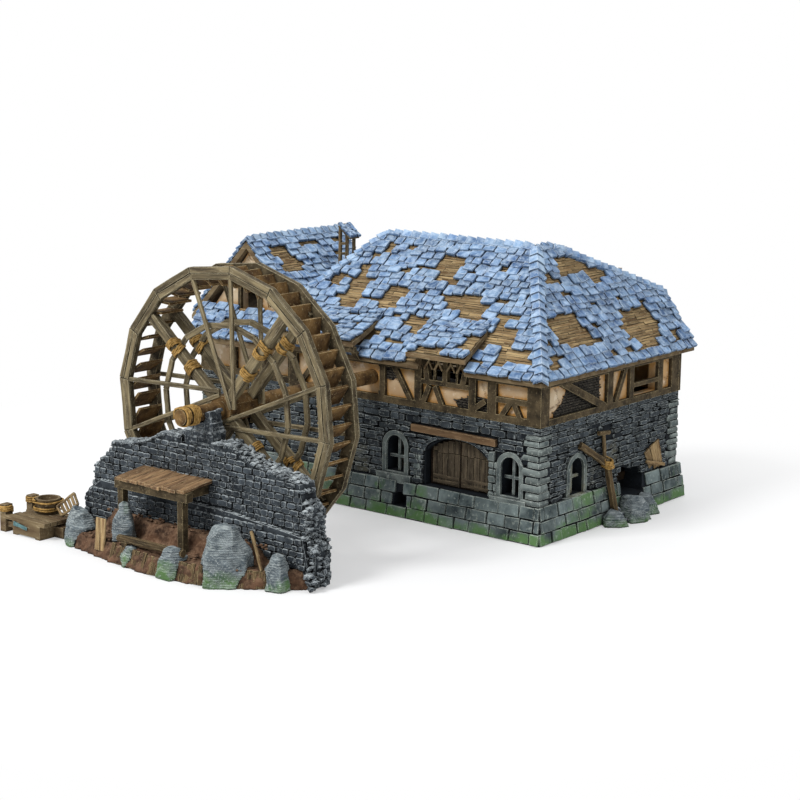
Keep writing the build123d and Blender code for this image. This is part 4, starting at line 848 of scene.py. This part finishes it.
def wattled(patch, place, along, out):
    """Rows of woven laths over a bare patch, with a sheet behind them painted fully dark as the shade between the
    laths.
    """
    z, row = min(b for _, b in patch), 0
    while z < max(b for _, b in patch):
        a = min(a for a, _ in patch) - (2.0 if row % 2 else 0.0)
        while a < max(a for a, _ in patch):
            w = rand(3.4, 4.8)
            if in_polygon(patch, a + w / 2, z + 0.9):
                o = place(a, z)
                ring = [o + along * s + Z * t for s, t in ((0, 0.7), (w * 0.5, 0.1), (w - 0.4, 0.6), (w - 0.4, 1.5),
                                                            (w * 0.5, 1.1), (0, 1.7))]
                chip(wattle, ring, out, rand(0.7, 1.3), 0.25, 0.08)
            a += w
        z += WATTLE_ROW
        row += 1
    # The sheet behind the laths is painted as dark as the paint goes: painted shade.
    chip(wattle, [place(a, b) for a, b in patch], out, 0.35, 0.1, 0.05, (1.0, 1.0, 1.0), 0.1)


for patch in FRONT_PATCHES:
    wattled(patch, lambda a, b: Vector((a, 0, b)), X, -Y)
for patch in RIGHT_PATCHES:
    wattled(patch, lambda a, b: Vector((0, a, b)), Y, X)
wattle.done()
dress("lintel", "gate_lintel")

# Gate leaves: upright boards with a ledge across, riding on each leaf.
dress("inside", "gate_leaf_left", "gate_leaf_right")
LEAF_Y, LEAF_GAP, BOARD_BREAK = node_box("gate_leaf_left")[0][1], 3.0, 52.0
for name, x0, x1 in (("gate_left", GATE[0] + LEAF_GAP, mid - 0.4), ("gate_right", mid + 0.4, GATE[1] - LEAF_GAP)):
    leaf = Heap(name + "_boards", "gate", name)
    x = x0
    while x < x1 - 1:
        w = min(rand(4.2, 6.4), x1 - x)
        c = x + w / 2
        reach = max(abs(c - mid) + w / 2 - 0.2, 0)
        top = GATE[3] + (GATE[4] - 2.4 - GATE[3]) * math.sqrt(max(0.02, 1 - (reach / (half - 1.4)) ** 2))
        z_cut = BOARD_BREAK + rand(-0.8, 0.8)
        for z0, z1, t in ((FLOOR_Z + 1.2 + rand(0, 0.6), z_cut, 0.9), (z_cut + 0.6, top - 0.3, 0.7)):
            plank(leaf, (c, LEAF_Y - t * 0.35, z0), (c, LEAF_Y - t * 0.35, z1), w - 0.45, t, Y, 5, 0.12)
        x += w
    for z in (34.5, 30.2):
        plank(leaf, (x0 + 0.8, LEAF_Y - 0.9, z), (x1 - 0.8, LEAF_Y - 0.9, z + rand(-0.6, 0.6)), 2.2, 0.8, Y,
              6, 0.12)
    leaf.done()

# Boards nailed over a gap in the right wall, and the timbers of the prop; its rope is wound with the rope bands further
# on.
built("shutter_planks", "bare", ((2.6, 143.5, 44), (2.6, 150.5, 31), 6.6, 1.6, X, 5, 0.25),
      ((3.2, 150, 47.5), (3.2, 157.5, 29.5), 6.8, 1.6, X, 5, 0.25),
      ((2.5, 157, 49.5), (2.5, 164, 29.5), 6.8, 1.6, X, 5, 0.25),
      ((4.6, 140.5, 36.2), (4.2, 168, 29.4), 2.4, 1.6, X, 6, 0.2), replaces=["shutter_boards"])
built("prop_timbers", "hewn", ((12.2, 87.6, 0.4), (5.6, 81.0, 49), 4.6, 4.4, X, 8, 0.3, 0.12),
      ((3.6, 48, 64.5), (6.2, 82.5, 44.5), 4.8, 3.8, X, 6, 0.3), ((5.0, 80.5, 43), (4.0, 78.6, 69), 1.5, 7, 6, 0.15),
      ((4.2, 72, 69.4), (4.2, 86, 68.2), 3.0, 2.8, X, 4, 0.25), replaces=["wall_prop"])

# The water wheel: every piece here turns with it.
CORNERS = 16
RIM_RINGS = ((WHEEL_R, 95.9), (95.4, 91.2))
SPOKE_TURN, STRUT_TURN, STRUT_SPREAD, INNER_RING = 50.5, 5.5, 11.25, 58.4


def wheel_point(r, degrees, y):
    a = math.radians(degrees)
    return Vector((WHEEL_X + r * math.cos(a), y, WHEEL_Z + r * math.sin(a)))


def rim_point(r, i, y):
    return wheel_point(r, VERTEX_TURN + 360 / CORNERS * i, y)


dress("wheel", "wheel_rims")
dress("paddle", "wheel_paddles", "wheel_axle")
rim_boards = Heap("wheel_rim_boards", "board", "wheel")
timbers = Heap("wheel_timbers", "board", "wheel")
ropes = Heap("wheel_ropes", "rope", "wheel")
for near, face_y in ((1, WHEEL_NEAR), (-1, WHEEL_FAR)):
    for i in range(CORNERS):
        for r_out, r_in in RIM_RINGS:
            corners = [rim_point(r, k, face_y) for r, k in ((r_out, i), (r_out, i + 1), (r_in, i + 1), (r_in, i))]
            along = (corners[1] - corners[0]).normalized()
            corners = [c + along * s * 0.25 for c, s in zip(corners, (1, -1, -1, 1))]
            middle = [(corners[k] + corners[k + 1]) / 2 + Vector((rand(-0.25, 0.25), 0, rand(-0.25, 0.25)))
                      for k in (0, 2)]
            ring = [corners[0], middle[0], corners[1], corners[2], middle[1], corners[3]]
            chip(rim_boards, ring, -Y * near, rand(0.7, 1.1), 0.3, 0.1, grain=along)
    spoke_y, strut_y, ring_y = face_y + near * 3.75, face_y + near * 0.6, face_y + near * 5.2
    for k in range(4):
        turn, apex_turn = SPOKE_TURN + 90 * k, STRUT_TURN + 90 * k
        plank(timbers, wheel_point(8, turn, spoke_y), wheel_point(93, turn, spoke_y), 7.0, 6.4, Y, 8, 0.28)
        for d in (-STRUT_SPREAD, STRUT_SPREAD):
            apex = wheel_point(11.0 - math.copysign(1.45, d), apex_turn - 90, strut_y)
            plank(timbers, apex, wheel_point(94, apex_turn + d, strut_y), 3.0, 2.4, Y, 7, 0.16)
        lashings = [(58.5, 3.5, 2.6), (58.5, 3.0, -2.6)] + ([(35 + 3 * (k % 2), 4.5, 0.6)] if near == 1 else [])
        for r, turns, slant in lashings:
            at = wheel_point(r + slant * 0.8, turn, spoke_y - near * 0.2)
            in_plane = Vector((-math.sin(math.radians(turn)), 0, math.cos(math.radians(turn))))
            outward = wheel_point(1, turn, 0) - wheel_point(0, turn, 0)
            lashing(ropes, at, outward, in_plane, 3.6, 3.5, turns, 1.6, slant * 0.8, 0.55)
    for i in range(CORNERS):
        plank(timbers, rim_point(INNER_RING, i, ring_y), rim_point(INNER_RING, i + 1, ring_y), 4.0, 2.6, Y, 4, 0.2)
rim_boards.done()
timbers.done("wheel_spokes", "wheel_struts")
for y, turns in ((-201.5, 2.6), (-193.6, 4.6)):
    lashing(ropes, (WHEEL_X, y, WHEEL_Z), Y, X, 5.4, 5.4, turns, 1.6, 0.2, 0.2)
ropes.done(smooth=True)

# The walled garden.
WALL_TOP = [(-262, 30), (-256, 40), (-256, 50), (-244, 60), (-234, 70), (-208, 74), (-184, 84), (-122, 84), (-104, 76),
            (-80, 71), (-60, 68), (-58, 56), (-51, 52), (-51, 32), (-46, 26)]
LEDGE_TOP = [(-262, 30), (-246, 42), (-120, 40), (-54, 34), (-46, 0)]
YARD_X0, YARD_X1, YARD_FRONT, YARD_BACK, LEDGE_FRONT = -262.0, -46.0, -188.0, -173.0, -192.0
SADDLE = (-169.0, -137.0)


def height_on(line, x):
    for (x0, z0), (x1, z1) in zip(line, line[1:]):
        if x0 <= x <= x1 and x1 > x0:
            return z0 + (z1 - z0) * (x - x0) / (x1 - x0)
    return 0.0


yard, rubble = Heap("yard_wall_stones", "outer"), Heap("yard_rubble", "outer")
length = YARD_X1 - YARD_X0
BRICKS = dict(course=(3.6, 4.8), run=(4.5, 9.5), deep=(0.8, 2.0), gap=0.5, inset=0.4, wobble=0.2)
for x, y, along, out, height, skip in (
        (YARD_X0, YARD_FRONT, X, -Y, 84, lambda a, b: not height_on(LEDGE_TOP, a + YARD_X0) - 1 <= b <= height_on(
            WALL_TOP, a + YARD_X0) - 0.6),
        (YARD_X0, LEDGE_FRONT, X, -Y, 42, lambda a, b: not 9 <= b <= height_on(LEDGE_TOP, a + YARD_X0) - 0.8),
        (YARD_X1, YARD_BACK, -X, Y, 84, lambda a, b: not 4 <= b <= height_on(WALL_TOP, YARD_X1 - a) - 0.6)):
    coursed(yard, Vector((x, y, 0)), along, Z, out, length, height, skip=skip, **BRICKS)
yard.done()
x = YARD_X0 + 1.5
while x < YARD_X1 - 1:
    y = YARD_FRONT + 1.2
    while y < YARD_BACK - 0.5:
        at = Vector((x + rand(-1, 1), y + rand(-0.6, 0.6),
                     height_on(WALL_TOP, x) + rand(-0.8, 1.0)))
        if not SADDLE[0] < at.x < SADDLE[1]:
            nugget(rubble, at, (2.0, 4.4), (1.7, 3.3), (1.2, 2.8))
        y += rand(2.4, 3.8)
    if height_on(LEDGE_TOP, x) > 12 and rng.random() < 0.7:
        nugget(rubble, (x, (YARD_FRONT + LEDGE_FRONT) / 2, height_on(LEDGE_TOP, x) + 0.3),
               (1.4, 2.6), 1.7, (0.5, 1.1))
    x += rand(2.4, 3.6)
for i in range(150):
    z = rand(12, 54)
    right = YARD_X1 - 1.0 - (5.0 if z > 32 else 0.0) - (6.0 if z > 52 else 0.0)
    nugget(rubble, (right + rand(-1.5, 1.8), rand(LEDGE_FRONT + 1, YARD_BACK - 1), z),
           (1.6, 2.8), (1.8, 3.4), (1.1, 1.9))
for i in range(40):
    nugget(rubble, (YARD_X1 + rand(-3, 5), rand(-198, -176), rand(1.5, 11)),
           (1.8, 3.4), (1.8, 3.4), (1.4, 2.4))
for i in range(70):
    z = rand(8, 46)
    left = YARD_X0 + (6.5 if z > 38 else 3.0 if z > 30 else 0.5)
    nugget(rubble, (left + rand(-1.5, 1.5), rand(YARD_FRONT + 1, YARD_BACK - 1), z),
           (1.6, 2.8), (1.8, 3.2), (1.1, 1.9))
for i in range(46):
    a, r = rand(-1.4, 1.4), rand(0.2, 1.0)
    y, x = 104 + 30 * r * math.sin(a), 9 + 15 * (1 - r * 0.6) * rng.random()
    nugget(rubble, (x, y, max(1.6, 15 - 0.55 * x - 0.2 * abs(y - 104) + rand(-1, 1))),
           (1.8, 4.2), (1.8, 4.0), (1.3, 2.8))
rubble.done()
dress("outer", "outer_wall")


def blocky(p, n):
    return noise.noise(p / 2.2) * 0.5 + noise.cell(Vector((p.x / 5.5, p.y / 6.0, p.z / 3.6))) * 0.9 - 0.5


def striated(p, n):
    big = (0.35 - abs(noise.noise(p / 13.0))) * 4.2 + noise.noise(p / 4.0) * 0.4
    layers = math.sin(p.z * 4.2 + noise.noise(p / 16.0) * 6.0 + p.x * 0.15)
    return big + layers * 0.22 * max(0.0, 1.0 - n.z * n.z)


rough_copy("axle_block", "outer", 0.8, blocky, False)
rough_copy("boulders", "boulder", 0.75, striated, False)
rough_copy("garden_base", "soil", 1.7, lambda p, n: noise.noise(p / 6.0) * 1.2 + noise.noise(p / 2.3) * 0.7,
           True)

clods = Heap("soil_clods", "soil")
for i in range(190):
    x, y = rand(-240, -62), rand(-226, -193)
    z = 24.5 if (-232 < x < -76 and y > -203) else 12.5
    if y < -208 and not -236 < x < -84:
        continue
    nugget(clods, (x, y, z + rand(-0.6, 0.4)), (0.8, 2.2), (0.8, 2.0), (0.6, 1.5))
clods.done()

edging = Heap("bank_boards", "hewn")
EDGE = [(-196, -233), (-150, -238), (-110, -234), (-82, -221), (-58, -204)]
for (xa, ya), (xb, yb) in zip(EDGE, EDGE[1:]):
    run = math.hypot(xb - xa, yb - ya)
    inward = Vector((-(yb - ya) / run, (xb - xa) / run, 0))
    count = int(run / 3.6)
    for i in range(count):
        foot = Vector((xa + (xb - xa) * (i + 0.5) / count, ya + (yb - ya) * (i + 0.5) / count, 0.4)) + inward * 1.2
        plank(edging, foot, foot + inward * 4.0 + Z * rand(10.5, 12.8), 3.1, 1.3, inward, 4, 0.22)
edging.done()

deck_low, deck_high = node_box("porch_deck")
deck = Heap("deck_planks", "deck")
DECK_BOARDS, DECK_PITCH, DECK_FALL = 9, 7.44, 3.5
for i in range(DECK_BOARDS):
    x = deck_low[0] + DECK_PITCH * (i + 0.5)
    front, rear = deck_low[1] + rand(0.2, 2.2), deck_high[1]
    z_rear = deck_high[2] - 1.4
    z_front = z_rear - DECK_FALL * (rear - front) / (deck_high[1] - deck_low[1])
    plank(deck, (x, front, z_front + rand(-0.2, 0.3)), (x, rear, z_rear), 7.0, 2.2, Z, 6, 0.35)
deck.done("porch_deck")

built("garden_timber", "hewn", ((-190, -227, 17), (-128, -227, 17), 2.7, 10, 9, 0.22),
      *[((x, -227, 3), (x, -227, 15.5), 5.0, 4.0, Y, 4, 0.3) for x in (-183.5, -143.5)], replaces=["log_rail"])
rack = [Vector(p) for p in ((-278, -205, 19.5), (-259.7, -205, 32.5), (-255.7, -205, 25), (-273, -205, 13.6))]
built("garden_oddments", "bare", ((-210.5, -228.5, 5), (-210.5 + 0.3, -226.5, 27.5), 4.6, 1.4, Y, 5, 0.2),
      ((-205.3, -228.5, 5), (-205.3 - 0.4, -226.5, 27.5), 4.4, 1.4, Y, 5, 0.2),
      ((-74, -209, 11.5), (-97, -194.2, 31), 1.25, 8, 7, 0.12),
      *[(rack[a], rack[b], 1.7, 1.6, Y, 4, 0.15) for a, b in ((0, 1), (3, 2), (0, 3), (1, 2))],
      *[(rack[0].lerp(rack[1], t), rack[3].lerp(rack[2], t), 2.6, 0.8, Y, 3, 0.15)
        for t in (0.22, 0.42, 0.62, 0.82)],
      ((-35, 156, 171), (-35.5, 157, 181), 1.5, 6, 4, 0.2))
built("teal_board", "teal", ((-298, -228.6, 8.4), (-284, -228.6, 6.6), 3.0, 0.9, Y, 4, 0.3, 0.3))
bands = Heap("rope_bands", "rope")
for x, y, z, half, turns in ((-311, -224.5, 16.6, 3.5, 3), (-311, -199.5, 18.8, 3.5, 3), (-290, -203, 16.4, 8.5, 1.6),
                             (-290, -203, 21.8, 9.0, 1.6)):
    lashing(bands, (x, y, z), Z, X, half, half, turns, 1.5, 0.0, 0.15)
lashing(bands, (6.0, 81.6, 46), (0, -0.35, 1), Y, 3.6, 3.0, 5.5, 1.4, 1.6, 0.5)
bands.done(smooth=True)
dress("raw", "jetty", "tub")

# Camera, lights and floor.
IMAGE, FOCAL_PX, SENSOR = 800.0, 1900.0, 36.0
CAMERA_AT, LOOK_AT = Vector((0.7416308537, -1.09121849818, 0.36645520617)), Vector((-0.14, 0.0, 0.09))
YAW, PITCH, ROLL = math.radians(-38.5), math.radians(11.3), math.radians(0.7)
camera = bpy.data.cameras.new("photo_camera")
camera.sensor_width = SENSOR
camera.lens = FOCAL_PX / IMAGE * SENSOR
camera_obj = bpy.data.objects.new("photo_camera", camera)
bpy.context.scene.collection.objects.link(camera_obj)
forward = Vector((math.sin(YAW) * math.cos(PITCH), math.cos(YAW) * math.cos(PITCH), -math.sin(PITCH)))
level = Vector((math.cos(YAW), -math.sin(YAW), 0.0))
upward = level.cross(forward)
right_axis = level * math.cos(ROLL) + upward * math.sin(ROLL)
up_axis = upward * math.cos(ROLL) - level * math.sin(ROLL)
rotation = Matrix((right_axis, up_axis, -forward)).transposed().to_4x4()
camera_obj.matrix_world = Matrix.Translation(CAMERA_AT) @ rotation
bpy.context.scene.camera = camera_obj


def area(name, place, size, power):
    lamp = bpy.data.lights.new(name, "AREA")
    lamp.size, lamp.energy = size, power
    obj = bpy.data.objects.new(name, lamp)
    bpy.context.scene.collection.objects.link(obj)
    obj.location = place
    obj.rotation_euler = (LOOK_AT - Vector(place)).to_track_quat("-Z", "Y").to_euler()


area("key", (-0.6, -1.5, 1.6), 0.7, 34.0)
area("side", (1.0, 0.1, 1.7), 1.0, 9.0)
area("back", (-0.6, 1.6, 1.2), 1.2, 10.0)


def seen_directly(tree):
    """One where a camera, glossy or transmission ray meets the surface."""
    rays = node(tree, "LightPath").outputs
    either = node(tree, "Math", (0, rays["Is Camera Ray"]), (1, rays["Is Glossy Ray"])).outputs[0]
    return node(tree, "Math", (0, either), (1, rays["Is Transmission Ray"]), use_clamp=True).outputs[0]


world = bpy.data.worlds.new("studio")
bpy.context.scene.world = world
world.use_nodes = True
tree = world.node_tree
tree.nodes.clear()
ambient = node(tree, "Background", (0, (0.95, 0.97, 1.0, 1)), (1, 0.5))
white = node(tree, "Background", (0, (1, 1, 1, 1)), (1, 1.0))
mixed = node(tree, "MixShader", (0, seen_directly(tree)), (1, ambient.outputs[0]), (2, white.outputs[0]))
node(tree, "OutputWorld", (0, mixed.outputs[0]))

# The floor fades into the white round it.
bpy.ops.mesh.primitive_plane_add(size=8.0, location=(0, 0, 0))
floor = bpy.context.object
floor.name = "studio_floor"
floor_mat = bpy.data.materials.new("studio_floor")
floor_mat.use_nodes = True
tree = floor_mat.node_tree
matt = tree.nodes["Principled BSDF"]
matt.inputs["Base Color"].default_value = (0.9, 0.9, 0.9, 1)
matt.inputs["Roughness"].default_value = 1.0
spot = node(tree, "TexCoord").outputs["Object"]
away = node(tree, "VectorMath", (0, spot), (1, (-0.15, -0.03, 0.0)), operation="DISTANCE").outputs["Value"]
fade = node(tree, "MapRange", ("Value", away), ("From Min", 0.26), ("From Max", 0.52), ("To Min", 0.35),
            ("To Max", 1.0)).outputs[0]
share = node(tree, "Math", (0, fade), (1, seen_directly(tree)), operation="MULTIPLY").outputs[0]
blend = node(tree, "MixShader", (0, share), (1, matt.outputs[0]), (2, node(tree, "Emission").outputs[0]))
tree.links.new(blend.outputs[0], tree.nodes["Material Output"].inputs["Surface"])
floor.data.materials.append(floor_mat)
bpy.context.scene.view_settings.view_transform = "Standard"
